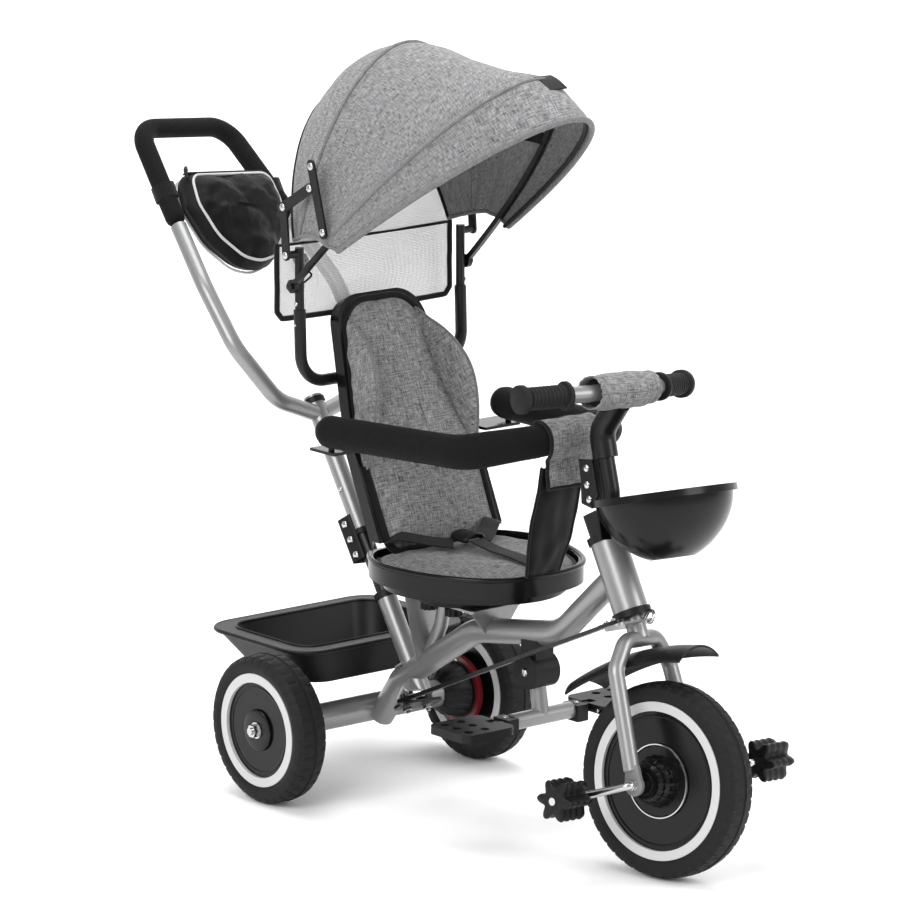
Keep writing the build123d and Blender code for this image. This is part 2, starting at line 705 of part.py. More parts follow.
def arch(plane, half, reach, wall):
    with BuildSketch(plane) as band:
        Ellipse(half, reach)
        Ellipse(half - wall, reach - wall, mode=Mode.SUBTRACT)
        with Locations((0, reach / 2)):
            Rectangle(3 * half, reach, mode=Mode.INTERSECT)
    return band.sketch


for slices, half, label in (
    (REAR_SLICES, REAR_HALF, "hood_rear"),
    (FRONT_SLICES, FRONT_HALF, "hood_front"),
):
    with BuildPart() as hood:
        loft([arch(fan(angle), half, reach, HOOD_WALL) for angle, reach in slices])
        split(bisect_by=HEM, keep=Keep.TOP)
    finish(hood, label)

HOOP_ANGLE = 47
HOOP_DEPTH = 7
with BuildPart() as canopy_hoop:
    hoop_plane = fan(HOOP_ANGLE)
    extrude(arch(hoop_plane, HOOP_HALF, 426, HOOP_DEPTH), amount=HOOP_DEPTH / 2, both=True)
    for side in (-1, 1):
        eye = across(CANOPY_HINGE[0], CANOPY_HINGE[2], side)
        ring(eye, 9, 0, HOOP_HALF - HOOP_DEPTH, HOOP_HALF)
        ring(eye, 4 + RUNNING_FIT, 0, HOOP_HALF - 30, HOOP_HALF + 10, mode=Mode.SUBTRACT)
finish(canopy_hoop, "canopy_hoop")

POST_TOP_Z = 742
with BuildPart() as canopy_frame:
    corner = (20, -POST_HALF, 562)
    shoulder = (CANOPY_HINGE[0], -POST_HALF, 660)
    tube([shoulder, corner] + mirrored([shoulder, corner]), 8, bend=38)
    for side in (-1, 1):
        tube([(CANOPY_HINGE[0], side * POST_HALF, 655), (CANOPY_HINGE[0], side * POST_HALF, POST_TOP_Z)], 6)
        pin_plane = across(CANOPY_HINGE[0], CANOPY_HINGE[2], side)
        ring(pin_plane, 4, 0, POST_HALF, HOOP_HALF + 3)
        ring(across(CANOPY_HINGE[0], POST_TOP_Z - 8, side), 5, 0, POST_HALF, FRONT_HALF + 2)
        arms = across(0, 0, side).offset(FRONT_HALF + 1)
        for start, end in (((17, 734), (12, 797)), ((12, 797), (68, 829)), ((70, 860), (95, 773))):
            with BuildSketch(arms):
                reach, rise = end[0] - start[0], -side * (end[1] - start[1])
                with Locations((start[0] + reach / 2, -side * (start[1] + end[1]) / 2)):
                    SlotOverall(Vector(reach, rise).length + 14, 14, rotation=degrees(atan2(rise, reach)))
            extrude(amount=3)
finish(canopy_frame, "canopy_frame")

with BuildPart() as canopy_mesh:
    with BuildSketch(Plane((-16.5, 0, 0), x_dir=(0, 1, 0), z_dir=(1, 0, 0))):
        with Locations((0, 690)):
            RectangleRounded(294, 100, 14)
        with Locations((0, 753)):
            Rectangle(250, 66)
    extrude(amount=2)
    with BuildSketch(fan(-17.2).offset(-4)):
        Ellipse(REAR_HALF - 2, 246)
        with Locations((0, 190)):
            Rectangle(400, 200, mode=Mode.INTERSECT)
    extrude(amount=2)
finish(canopy_mesh, "canopy_mesh")
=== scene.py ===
import json
from math import asin, atan2, cos, exp, pi, radians, sin, sqrt, tan
import bmesh
import bpy
from mathutils import Matrix, Vector, noise


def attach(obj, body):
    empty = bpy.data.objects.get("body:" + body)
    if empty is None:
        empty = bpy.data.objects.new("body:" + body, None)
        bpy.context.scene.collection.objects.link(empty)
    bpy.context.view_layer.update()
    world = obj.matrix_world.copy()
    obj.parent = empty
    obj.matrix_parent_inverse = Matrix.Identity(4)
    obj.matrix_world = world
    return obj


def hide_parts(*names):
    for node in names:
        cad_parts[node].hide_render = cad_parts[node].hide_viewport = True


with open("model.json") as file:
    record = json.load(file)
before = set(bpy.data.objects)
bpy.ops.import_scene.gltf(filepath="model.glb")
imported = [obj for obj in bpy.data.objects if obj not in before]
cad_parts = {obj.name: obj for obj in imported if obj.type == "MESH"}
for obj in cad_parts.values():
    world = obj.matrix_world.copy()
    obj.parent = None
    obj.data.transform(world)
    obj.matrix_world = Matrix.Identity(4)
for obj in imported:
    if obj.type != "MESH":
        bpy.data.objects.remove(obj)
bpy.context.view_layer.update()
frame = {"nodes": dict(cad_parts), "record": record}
NODES = frame["nodes"]

# ------------------------------------------------------------------ places
# Lengths are millimetres, with X from the rear axle; at() gives metres in the frame.
MIDDLE = 148


def at(x, y, z):
    return Vector(((x - MIDDLE) / 1000, y / 1000, z / 1000))


class Tilted:
    """A leaning set of directions: forward, to the left, and up along the lean."""

    def __init__(self, foot, tilt):
        lean = radians(tilt)
        self.foot = Vector(foot)
        self.forward = Vector((cos(lean), 0, sin(lean)))
        self.left = Vector((0, 1, 0))
        self.up = Vector((-sin(lean), 0, cos(lean)))

    def mm(self, forward, left, up):
        return self.foot + self.forward * forward + self.left * left + self.up * up

    def point(self, forward, left, up):
        return at(*self.mm(forward, left, up))


HEAD = Tilted((520, 0, 329), 28.5)
HANDLE = Tilted((24, 0, 262), 32.5)
BACK = Tilted((145, 0, 365), 24.5)
BASKET = Tilted((560, 0, 484), 15)


def parked(axis, degrees=11):
    foot = at(*axis.foot)
    return Matrix.Translation(foot) @ Matrix.Rotation(radians(degrees), 4,
        axis.up) @ Matrix.Translation(-foot)


STEERED = parked(HEAD)
HANDLED = parked(HANDLE)
PARKED = {"steering": STEERED, "front_wheel": STEERED, "pedal_left": STEERED, "pedal_right": STEERED,
    "push_handle": HANDLED}
SIDES = ((-1, "right"), (1, "left"))
REAR_RADIUS, FRONT_RADIUS = 100, 125
REAR_TRACK = 178
FRONT_AXLE_X = 597
HINGE_X, HINGE_Z = 17, 692
BAR_Z = 606
RING_X, RING_Z = 392, 534


# ------------------------------------------------------------------ shader groups
def new_group(name, inputs, outputs):
    tree = bpy.data.node_groups.new(name, "ShaderNodeTree")
    for label, kind, value in inputs:
        socket = tree.interface.new_socket(label, in_out="INPUT", socket_type=kind)
        socket.default_value = value
    for label, kind in outputs:
        tree.interface.new_socket(label, in_out="OUTPUT", socket_type=kind)
    entry = tree.nodes.new("NodeGroupInput")
    leave = tree.nodes.new("NodeGroupOutput")
    return tree, entry, leave


def node(tree, kind, links=(), **values):
    made = tree.nodes.new(kind)
    for key, value in values.items():
        if hasattr(made, key):
            setattr(made, key, value)
        else:
            made.inputs[key].default_value = value
    for socket, source in links:
        tree.links.new(source, made.inputs[socket])
    return made


def maths(tree, operation, a, b=None):
    made = tree.nodes.new("ShaderNodeMath")
    made.operation = operation
    for slot, value in ((0, a), (1, b)):
        if value is None:
            continue
        if isinstance(value, (int, float)):
            made.inputs[slot].default_value = value
        else:
            tree.links.new(value, made.inputs[slot])
    return made.outputs[0]


def build_grain():
    """Moulding grain, handling marks and dust: a shade, a roughness and a height."""
    tree, entry, leave = new_group(
        "surface_grain",
        (("Vector", "NodeSocketVector", (0, 0, 0)), ("Grain Scale", "NodeSocketFloat", 900),
        ("Mark Scale", "NodeSocketFloat", 18),
         ("Shade Range", "NodeSocketFloat", 0.15), ("Roughness", "NodeSocketFloat", 0.5),
         ("Roughness Range", "NodeSocketFloat", 0.12)),
        (("Shade", "NodeSocketFloat"), ("Roughness", "NodeSocketFloat"), ("Height", "NodeSocketFloat")),
    )
    fine = node(tree, "ShaderNodeTexNoise", (("Vector", entry.outputs["Vector"]),
        ("Scale", entry.outputs["Grain Scale"])), Detail=3)
    broad = node(tree, "ShaderNodeTexNoise", (("Vector", entry.outputs["Vector"]),
        ("Scale", entry.outputs["Mark Scale"])), Detail=6, Roughness=0.65)
    centred = maths(tree, "SUBTRACT", broad.outputs[0], 0.5)
    shade = maths(tree, "ADD", maths(tree, "MULTIPLY", centred, entry.outputs["Shade Range"]), 1)
    rough = maths(tree, "ADD", maths(tree, "MULTIPLY", centred, entry.outputs["Roughness Range"]),
        entry.outputs["Roughness"])
    tree.links.new(shade, leave.inputs["Shade"])
    tree.links.new(rough, leave.inputs["Roughness"])
    tree.links.new(fine.outputs[0], leave.inputs["Height"])
    return tree


def build_weave():
    """Warp and weft with uneven slub threads, on the cloth's own UV map in metres."""
    tree, entry, leave = new_group(
        "slub_weave",
        (("Vector", "NodeSocketVector", (0, 0, 0)), ("Thread", "NodeSocketFloat", 0.0011),
        ("Slub Length", "NodeSocketFloat", 0.016),
         ("Contrast", "NodeSocketFloat", 0.5)),
        (("Shade", "NodeSocketFloat"), ("Height", "NodeSocketFloat")),
    )
    across = maths(tree, "DIVIDE", 1.0, entry.outputs["Thread"])
    along = maths(tree, "DIVIDE", 1.0, entry.outputs["Slub Length"])
    yarns = []
    for first, second in ((across, along), (along, across)):
        stretch = node(tree, "ShaderNodeCombineXYZ", (("X", first), ("Y", second)))
        scaled = node(tree, "ShaderNodeVectorMath", ((0, entry.outputs["Vector"]), (1, stretch.outputs[0])),
            operation="MULTIPLY")
        yarn = node(tree, "ShaderNodeTexNoise", (("Vector", scaled.outputs[0]),), Scale=0.9, Detail=2,
            Roughness=0.6)
        yarns.append(yarn.outputs[0])
    mixed = maths(tree, "SUBTRACT", maths(tree, "ADD", yarns[0], yarns[1]), 1)
    shade = maths(tree, "ADD", maths(tree, "MULTIPLY", mixed, entry.outputs["Contrast"]), 1)
    separate = node(tree, "ShaderNodeSeparateXYZ", (("Vector", entry.outputs["Vector"]),))
    waves = []
    for axis in (0, 1):
        turns = maths(tree, "MULTIPLY", maths(tree, "MULTIPLY", separate.outputs[axis], across), pi)
        waves.append(maths(tree, "ABSOLUTE", maths(tree, "SINE", turns)))
    height = maths(tree, "ADD", maths(tree, "MULTIPLY", maths(tree, "ADD", waves[0], waves[1]), 0.5),
        maths(tree, "MULTIPLY", mixed, 0.8))
    tree.links.new(shade, leave.inputs["Shade"])
    tree.links.new(height, leave.inputs["Height"])
    return tree


GRAIN = build_grain()
WEAVE = build_weave()


def start_material(name):
    material = bpy.data.materials.new(name)
    material.use_nodes = True
    tree = material.node_tree
    return material, tree, tree.nodes["Principled BSDF"], tree.nodes.new("ShaderNodeTexCoord")


def shaded(tree, surface, colour, shade):
    tint = node(tree, "ShaderNodeMix", data_type="RGBA", blend_type="MULTIPLY")
    tint.inputs[0].default_value = 1
    tint.inputs[6].default_value = (*colour, 1)
    tree.links.new(shade, tint.inputs[7])
    tree.links.new(tint.outputs[2], surface.inputs["Base Color"])


def bumped(tree, surface, height, strength, distance):
    bump = node(tree, "ShaderNodeBump", (("Height", height),), Strength=strength, Distance=distance)
    tree.links.new(bump.outputs[0], surface.inputs["Normal"])


def moulded(name, colour, roughness, grain=900, bump=0.15, marks=18, metallic=0.0, coat=0.0,
        shade_range=0.15, rough_range=0.12, depth=0.0003):
    material, tree, surface, coords = start_material(name)
    group = node(tree, "ShaderNodeGroup", node_tree=GRAIN)
    tree.links.new(coords.outputs["Object"], group.inputs["Vector"])
    for label, value in (("Grain Scale", grain), ("Mark Scale", marks), ("Shade Range", shade_range),
                         ("Roughness", roughness), ("Roughness Range", rough_range)):
        group.inputs[label].default_value = value
    shaded(tree, surface, colour, group.outputs["Shade"])
    tree.links.new(group.outputs["Roughness"], surface.inputs["Roughness"])
    bumped(tree, surface, group.outputs["Height"], bump, depth)
    surface.inputs["Metallic"].default_value = metallic
    surface.inputs["Specular IOR Level"].default_value = 0.22 if max(colour) < 0.02 else 0.5
    surface.inputs["Coat Weight"].default_value = coat
    surface.inputs["Coat Roughness"].default_value = 0.15
    return material


def woven(name, colour, thread, slub, contrast, sheen=0.3, roughness=0.9, bump=0.5, depth=0.0004):
    material, tree, surface, coords = start_material(name)
    group = node(tree, "ShaderNodeGroup", node_tree=WEAVE)
    tree.links.new(coords.outputs["UV"], group.inputs["Vector"])
    for label, value in (("Thread", thread), ("Slub Length", slub), ("Contrast", contrast)):
        group.inputs[label].default_value = value
    shaded(tree, surface, colour, group.outputs["Shade"])
    surface.inputs["Roughness"].default_value = roughness
    surface.inputs["Sheen Weight"].default_value = sheen
    surface.inputs["Specular IOR Level"].default_value = 0.15 if max(colour) < 0.02 else 0.3
    surface.inputs["Sheen Roughness"].default_value = 0.5
    bumped(tree, surface, group.outputs["Height"], bump, depth)
    return material


def netting(name, colour, cell):
    """Open net: fine threads with holes between them."""
    material, tree, surface, coords = start_material(name)
    split = node(tree, "ShaderNodeSeparateXYZ", (("Vector", coords.outputs["UV"]),))
    threads = []
    for axis in (0, 1):
        wave = maths(tree, "SINE", maths(tree, "MULTIPLY", split.outputs[axis], pi / cell))
        threads.append(maths(tree, "ABSOLUTE", wave))
    thinnest = maths(tree, "MINIMUM", threads[0], threads[1])
    hole = maths(tree, "GREATER_THAN", thinnest, 0.40)
    open_net = maths(tree, "SUBTRACT", 1, maths(tree, "MULTIPLY", hole, 0.85))
    tree.links.new(open_net, surface.inputs["Alpha"])
    uneven = node(tree, "ShaderNodeTexNoise", (("Vector", coords.outputs["UV"]),), Scale=40, Detail=4)
    shade = maths(tree, "ADD", maths(tree, "MULTIPLY", uneven.outputs[0], 0.12), 0.92)
    shaded(tree, surface, colour, shade)
    surface.inputs["Roughness"].default_value = 0.8
    bumped(tree, surface, thinnest, 0.3, 0.0002)
    return material


def knitted(name, colour, cell):
    """Stretch cover over foam: a fine raised lattice."""
    material, tree, surface, coords = start_material(name)
    cells = node(tree, "ShaderNodeTexVoronoi", (("Vector", coords.outputs["Object"]),), Scale=1 / cell)
    group = node(tree, "ShaderNodeGroup", node_tree=GRAIN)
    tree.links.new(coords.outputs["Object"], group.inputs["Vector"])
    group.inputs["Roughness"].default_value = 0.85
    group.inputs["Shade Range"].default_value = 0.4
    shaded(tree, surface, colour, group.outputs["Shade"])
    tree.links.new(group.outputs["Roughness"], surface.inputs["Roughness"])
    surface.inputs["Sheen Weight"].default_value = 0.02
    surface.inputs["Specular IOR Level"].default_value = 0.12
    bumped(tree, surface, cells.outputs["Distance"], 0.6, 0.0008)
    return material


SILVER = moulded("silver_powder_coat", (0.25, 0.25, 0.253), 0.36, grain=1400, bump=0.10, metallic=0.55,
    coat=0.3, shade_range=0.06, rough_range=0.06)
BLACK_COAT = moulded("black_powder_coat", (0.0045, 0.0045, 0.005), 0.38, grain=1300, bump=0.12, coat=0.15)
PLASTIC = moulded("black_moulded_plastic", (0.005, 0.005, 0.0055), 0.46, grain=700, bump=0.18)
GLOSS = moulded("black_gloss_plastic", (0.004, 0.004, 0.0045), 0.22, grain=300, bump=0.04, rough_range=0.08)
TYRE = moulded("tyre_foam_rubber", (0.007, 0.007, 0.007), 0.62, grain=500, bump=0.25, marks=30)
RING_WHITE = moulded("rim_white_plastic", (0.50, 0.50, 0.505), 0.35, grain=900, bump=0.06, shade_range=0.05)
RED = moulded("red_plastic", (0.13, 0.003, 0.008), 0.35, grain=700, bump=0.08)
CHROME = moulded("bright_hardware", (0.5, 0.5, 0.51), 0.16, grain=500, bump=0.05, metallic=1.0,
    shade_range=0.1)
FOAM = knitted("foam_cover", (0.005, 0.005, 0.0055), 0.0032)
HEATHER = woven("heather_linen", (0.178, 0.178, 0.181), 0.0015, 0.013, 2.6, sheen=0.1)
PIPING = woven("heather_piping", (0.15, 0.15, 0.153), 0.0013, 0.008, 1.6, sheen=0.1)
NYLON = woven("black_nylon", (0.004, 0.004, 0.0048), 0.0006, 0.004, 0.3, sheen=0.0, roughness=0.5,
    bump=0.12)
BINDING = woven("black_binding", (0.004, 0.004, 0.0045), 0.0009, 0.004, 0.5, sheen=0.1, roughness=0.75)
WHITE_PIPING = woven("white_piping", (0.5, 0.5, 0.505), 0.0008, 0.004, 0.3, roughness=0.6)
MESH = netting("window_net", (0.52, 0.52, 0.52), 0.0022)
THREAD = woven("grey_thread", (0.2, 0.2, 0.203), 0.0005, 0.003, 0.3, roughness=0.8)

FINISH_OF_SLOT = {
    "silver_metal": SILVER, "black_metal": BLACK_COAT, "black_plastic": PLASTIC, "gloss_black": GLOSS,
    "tyre_black": TYRE,
    "rim_ring": RING_WHITE, "foam_rubber": FOAM, "heather_fabric": HEATHER, "black_nylon": NYLON,
    "mesh_fabric": MESH,
    "red_plastic": RED, "chrome_hardware": CHROME,
}
SLOT_OF_FINISH = {finish.name: slot for slot, finish in FINISH_OF_SLOT.items()}
for finish, slot in ((PIPING, "heather_fabric"), (THREAD, "heather_fabric"), (BINDING, "black_nylon"),
        (WHITE_PIPING, "black_nylon")):
    SLOT_OF_FINISH[finish.name] = slot
for part in frame["record"]["subparts"]:
    shell = NODES[part["node"]]
    for holder in shell.material_slots:
        holder.material = FINISH_OF_SLOT[part["material_slot"]]


# ------------------------------------------------------------------ mesh helpers
def rounded(mesh, crease):
    for face in mesh.polygons:
        face.use_smooth = True
    mesh.set_sharp_from_angle(angle=radians(crease))


def piece(name, verts, faces, finish, body, uvs=None, crease=40, subdivide=0, thickness=0):
    mesh = bpy.data.meshes.new(name)
    mesh.from_pydata([tuple(v) for v in verts], [], faces)
    if body in PARKED:
        mesh.transform(PARKED[body])
    if uvs:
        layer = mesh.uv_layers.new(name="UVMap")
        for loop in mesh.loops:
            layer.data[loop.index].uv = uvs[loop.vertex_index]
    build = bmesh.new()
    build.from_mesh(mesh)
    bmesh.ops.recalc_face_normals(build, faces=build.faces)
    build.to_mesh(mesh)
    build.free()
    obj = bpy.data.objects.new(name, mesh)
    bpy.context.scene.collection.objects.link(obj)
    mesh.materials.append(finish)
    rounded(mesh, crease)
    if thickness:
        wall = obj.modifiers.new("cloth_thickness", "SOLIDIFY")
        wall.thickness = thickness
        wall.offset = 0
    if subdivide:
        rounder = obj.modifiers.new("subdivision", "SUBSURF")
        rounder.levels = rounder.render_levels = subdivide
    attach(obj, body)
    return obj


def bent(points, bends, step=0.006):
    """Straight runs joined by arcs, sampled evenly enough for a tube."""
    points = [Vector(p) for p in points]
    path = [points[0]]
    for index in range(1, len(points) - 1):
        before = (points[index] - points[index - 1]).normalized()
        after = (points[index + 1] - points[index]).normalized()
        turn = before.angle(after)
        bend = bends[index - 1] if isinstance(bends, (list, tuple)) else bends
        reach = bend * tan(turn / 2)
        first, last = points[index] - before * reach, points[index] + after * reach
        arm = bend * 4 / 3 * tan(turn / 4)
        for k in range(13):
            t = k / 12
            path.append(first * (1 - t) ** 3 + (first + before * arm) * 3 * t * (1 - t) ** 2
                        + (last - after * arm) * 3 * t * t * (1 - t) + last * t ** 3)
    path.append(points[-1])
    return evenly(path, step)


def evenly(path, step):
    spread = [0]
    for a, b in zip(path, path[1:]):
        spread.append(spread[-1] + (b - a).length)
    count = max(2, int(spread[-1] / step))
    out, k = [], 0
    for i in range(count + 1):
        target = spread[-1] * i / count
        while k < len(path) - 2 and spread[k + 1] < target:
            k += 1
        span = spread[k + 1] - spread[k]
        out.append(path[k].lerp(path[k + 1], (target - spread[k]) / span if span else 0))
    return out


def curved(points, step=0.004, closed=False):
    """A smooth line through the points."""
    points = [Vector(p) for p in points]
    count = len(points)
    path = []
    for i in range(count if closed else count - 1):
        if closed:
            a, b, c, d = (points[(i + k) % count] for k in (-1, 0, 1, 2))
        else:
            a, b, c, d = points[max(i - 1, 0)], points[i], points[i + 1], points[min(i + 2, count - 1)]
        for k in range(10):
            t = k / 10
            path.append(0.5 * (2 * b + (c - a) * t + (2 * a - 5 * b + 4 * c - d) * t * t
                + (3 * b - 3 * c + d - a) * t ** 3))
    path.append(points[0] if closed else points[-1])
    return evenly(path, step)


def frames(path, closed=False):
    """Tangent, side and up at each point of a path, without twist."""
    result = []
    count = len(path)
    for i in range(count):
        before = path[(i - 1) % count] if closed else path[max(i - 1, 0)]
        after = path[(i + 1) % count] if closed else path[min(i + 1, count - 1)]
        tangent = (after - before).normalized()
        if not result:
            side = tangent.cross(Vector((0, 0, 1)) if abs(tangent.z) < 0.9 else Vector((1, 0,
                0))).normalized()
        else:
            side = result[-1][1]
            side = (side - tangent * side.dot(tangent)).normalized()
        result.append((tangent, side, side.cross(tangent)))
    return result


def tube(name, path, radius, finish, body, around=20, closed=False, shape=None):
    """A round tube along a path. radius may be a function of the fraction along it."""
    if closed:
        path = path[:-1]
    axes = frames(path, closed)
    count = len(path)
    verts, uvs, faces = [], [], []
    run = 0
    rows = []
    for i, point in enumerate(path):
        run += (point - path[i - 1]).length if i else 0
        rows.append((point, axes[i], radius(i / (count - 1)) if callable(radius) else radius, run))
    if not closed:
        first, last = rows[0], rows[-1]
        caps = []
        for k in range(4):
            lean = pi / 2 * k / 4
            caps.append((first[0] - first[1][0] * first[2] * cos(lean), first[1],
                first[2] * max(sin(lean), 0.03), -0.001))
        tail = []
        for k in range(3, -1, -1):
            lean = pi / 2 * k / 4
            tail.append((last[0] + last[1][0] * last[2] * cos(lean), last[1],
                last[2] * max(sin(lean), 0.03), run))
        rows = caps + rows + tail
    for point, (tangent, side, up), size, distance in rows:
        for k in range(around):
            angle = 2 * pi * k / around
            reach = size * (shape(distance, angle) if shape else 1)
            verts.append(point + (side * cos(angle) + up * sin(angle)) * reach)
            uvs.append((distance, angle * size))
    total = len(rows)
    for i in range(total if closed else total - 1):
        for k in range(around):
            a, b = i * around, ((i + 1) % total) * around
            faces.append((a + k, a + (k + 1) % around, b + (k + 1) % around, b + k))
    if not closed:
        faces.append(tuple(range(around))[::-1])
        faces.append(tuple((total - 1) * around + k for k in range(around)))
    return piece(name, verts, faces, finish, body, uvs=uvs)


def spun(name, profile, centre, axis, finish, body, around=64, relief=None, crease=35):
    """Spin a profile of (along, radius) about an axis through the centre."""
    axis = Vector(axis).normalized()
    side = axis.cross(Vector((0, 0, 1)) if abs(axis.z) < 0.9 else Vector((1, 0, 0))).normalized()
    up = axis.cross(side)
    verts, faces, uvs = [], [], []
    count = len(profile)
    for k in range(around):
        angle = 2 * pi * k / around
        spoke = side * cos(angle) + up * sin(angle)
        for j, (along, radius) in enumerate(profile):
            grow = relief(angle, along, radius) if relief else 0
            verts.append(centre + axis * along / 1000 + spoke * (radius + grow) / 1000)
            uvs.append((angle * radius / 1000, along / 1000))
    for k in range(around):
        for j in range(count):
            a, b = k * count, ((k + 1) % around) * count
            faces.append((a + j, b + j, b + (j + 1) % count, a + (j + 1) % count))
    return piece(name, verts, faces, finish, body, uvs=uvs, crease=crease)


def sheet_of(name, rows, finish, body, thickness, subdivide=0):
    """A cloth surface from rows of points, with UVs that follow its measured lengths."""
    verts, uvs, faces = [], [], []
    down = 0
    for i, row in enumerate(rows):
        middle = len(row) // 2
        if i:
            down += (row[middle] - rows[i - 1][middle]).length
        run = 0
        for j, point in enumerate(row):
            run += (point - row[j - 1]).length if j else 0
            verts.append(point)
            uvs.append((run, down))
    width = len(rows[0])
    for i in range(len(rows) - 1):
        for j in range(width - 1):
            a = i * width + j
            faces.append((a, a + 1, a + width + 1, a + width))
    return piece(name, verts, faces, finish, body, uvs=uvs, thickness=thickness, subdivide=subdivide,
        crease=60)


def pillow(name, outline, spine, rise, finish, body, place, under, wrinkle, rings=18):
    """A crowned pad. outline and spine are flat (u, v) points in mm; place(u, v, height) gives metres."""
    count = len(outline)
    verts, uvs, faces = [], [], []

    def layer(sign, depth):
        start = len(verts)
        for r in range(rings):
            t = r / rings
            for k, (u, v) in enumerate(outline):
                su, sv = spine(u, v)
                pu, pv = u + (su - u) * t, v + (sv - v) * t
                edge = sqrt(max(1 - (1 - min(t * 2.4, 1)) ** 2, 0))
                crown = depth * (0.62 * edge + 0.38 * sin(pi / 2 * min(t * 1.25, 1)))
                if sign > 0:
                    crown += wrinkle(pu, pv) * edge
                verts.append(place(pu, pv, sign * crown))
                uvs.append((pu / 1000, pv / 1000))
        for r in range(rings - 1):
            for k in range(count):
                a, b = start + r * count, start + (r + 1) * count
                faces.append((a + k, a + (k + 1) % count, b + (k + 1) % count, b + k))
        return start, start + (rings - 1) * count

    top, top_inner = layer(1, rise)
    bottom, bottom_inner = layer(-1, under)
    for k in range(count):
        n = (k + 1) % count
        faces.append((top + k, bottom + k, bottom + n, top + n))
    for inner in (top_inner, bottom_inner):
        faces.append(tuple(inner + k for k in range(count)))
    return piece(name, verts, faces, finish, body, uvs=uvs, crease=75)


def ribbon(name, path, width, thickness, finish, body, facing):
    """Flat webbing along a path; facing gives the direction its broad side faces."""
    verts, uvs, faces = [], [], []
    run = 0
    count = len(path)
    for i, point in enumerate(path):
        run += (point - path[i - 1]).length if i else 0
        tangent = (path[min(i + 1, count - 1)] - path[max(i - 1, 0)]).normalized()
        normal = Vector(facing) if not callable(facing) else facing(i / (count - 1))
        side = tangent.cross(normal).normalized()
        normal = side.cross(tangent).normalized()
        for s, n in ((-1, -1), (-0.94, 1), (0.94, 1), (1, -1)):
            verts.append(point + side * s * width / 2 + normal * n * thickness / 2)
            uvs.append((s * width / 2, run))
    for i in range(count - 1):
        for k in range(4):
            a, b = i * 4, (i + 1) * 4
            faces.append((a + k, a + (k + 1) % 4, b + (k + 1) % 4, b + k))
    faces += [(0, 1, 2, 3), tuple((count - 1) * 4 + k for k in range(4))]
    return piece(name, verts, faces, finish, body, uvs=uvs, crease=50)


# ------------------------------------------------------------------ repeats
def repeat_tree(name, along_curve):
    """Puts a small piece at every point, or at even steps along a path, as one solid mesh."""
    tree = bpy.data.node_groups.new(name, "GeometryNodeTree")
    face = tree.interface
    face.new_socket("Geometry", in_out="INPUT", socket_type="NodeSocketGeometry")
    face.new_socket("Unit", in_out="INPUT", socket_type="NodeSocketObject")
    face.new_socket("Finish", in_out="INPUT", socket_type="NodeSocketMaterial")
    face.new_socket("Spacing", in_out="INPUT", socket_type="NodeSocketFloat")
    face.new_socket("Geometry", in_out="OUTPUT", socket_type="NodeSocketGeometry")
    entry, leave = tree.nodes.new("NodeGroupInput"), tree.nodes.new("NodeGroupOutput")
    unit = node(tree, "GeometryNodeObjectInfo", (("Object", entry.outputs["Unit"]),))
    points = entry.outputs["Geometry"]
    if along_curve:
        curve = node(tree, "GeometryNodeMeshToCurve", (("Mesh", points),))
        steps = node(tree, "GeometryNodeCurveToPoints",
            (("Curve", curve.outputs[0]), ("Length", entry.outputs["Spacing"])), mode="LENGTH")
        points, turn = steps.outputs["Points"], steps.outputs["Rotation"]
    else:
        facing = node(tree, "GeometryNodeInputNamedAttribute", data_type="FLOAT_VECTOR")
        facing.inputs["Name"].default_value = "facing"
        turn = node(tree, "FunctionNodeAlignRotationToVector", (("Vector", facing.outputs[0]),),
            axis="Z").outputs[0]
    placed = node(tree, "GeometryNodeInstanceOnPoints",
        (("Points", points), ("Instance", unit.outputs["Geometry"]), ("Rotation", turn)))
    real = node(tree, "GeometryNodeRealizeInstances", (("Geometry", placed.outputs[0]),))
    dressed = node(tree, "GeometryNodeSetMaterial",
        (("Geometry", real.outputs[0]), ("Material", entry.outputs["Finish"])))
    tree.links.new(dressed.outputs[0], leave.inputs[0])
    return tree


FASTENER_TREE = repeat_tree("fastener_places", False)
STITCH_TREE = repeat_tree("stitch_row", True)


def unit_of(name, profile, around=14):
    """A small turned unit: a profile of (height, radius) in mm."""
    verts, faces = [], []
    for height, radius in profile:
        for k in range(around):
            angle = 2 * pi * k / around
            verts.append((radius * cos(angle) / 1000, radius * sin(angle) / 1000, height / 1000))
    for j in range(len(profile) - 1):
        for k in range(around):
            a, b = j * around, (j + 1) * around
            faces.append((a + k, a + (k + 1) % around, b + (k + 1) % around, b + k))
    faces.append(tuple((len(profile) - 1) * around + k for k in range(around)))
    faces.append(tuple(range(around))[::-1])
    mesh = bpy.data.meshes.new(name)
    mesh.from_pydata(verts, [], faces)
    return bpy.data.objects.new(name, mesh)


DOME = unit_of("dome_rivet", ((0, 5.2), (0.6, 5.2), (1.6, 4.6), (2.4, 3.2), (2.8, 1.2)))
SMALL_DOME = unit_of("small_dome", ((0, 3.4), (0.5, 3.4), (1.3, 2.9), (1.8, 1.8), (2.0, 0.6)))
PAN_SCREW = unit_of("pan_screw", ((0, 5.5), (1.6, 5.5), (2.8, 4.6), (3.2, 3.4), (3.2, 2.1), (1.9, 1.9),
    (1.9, 0.3)))
HEX_NUT = unit_of("hex_nut", ((0, 8), (0, 8), (0.9, 8), (1.0, 6.6), (5.4, 6.6), (6.0, 5.9), (6.0, 3.4),
    (9.0, 3.2), (9.6, 2.4)), around=6)
STITCH = unit_of("thread_stitch", ((-1.3, 0.1), (-1.0, 0.34), (0, 0.42), (1.0, 0.34), (1.3, 0.1)), around=5)


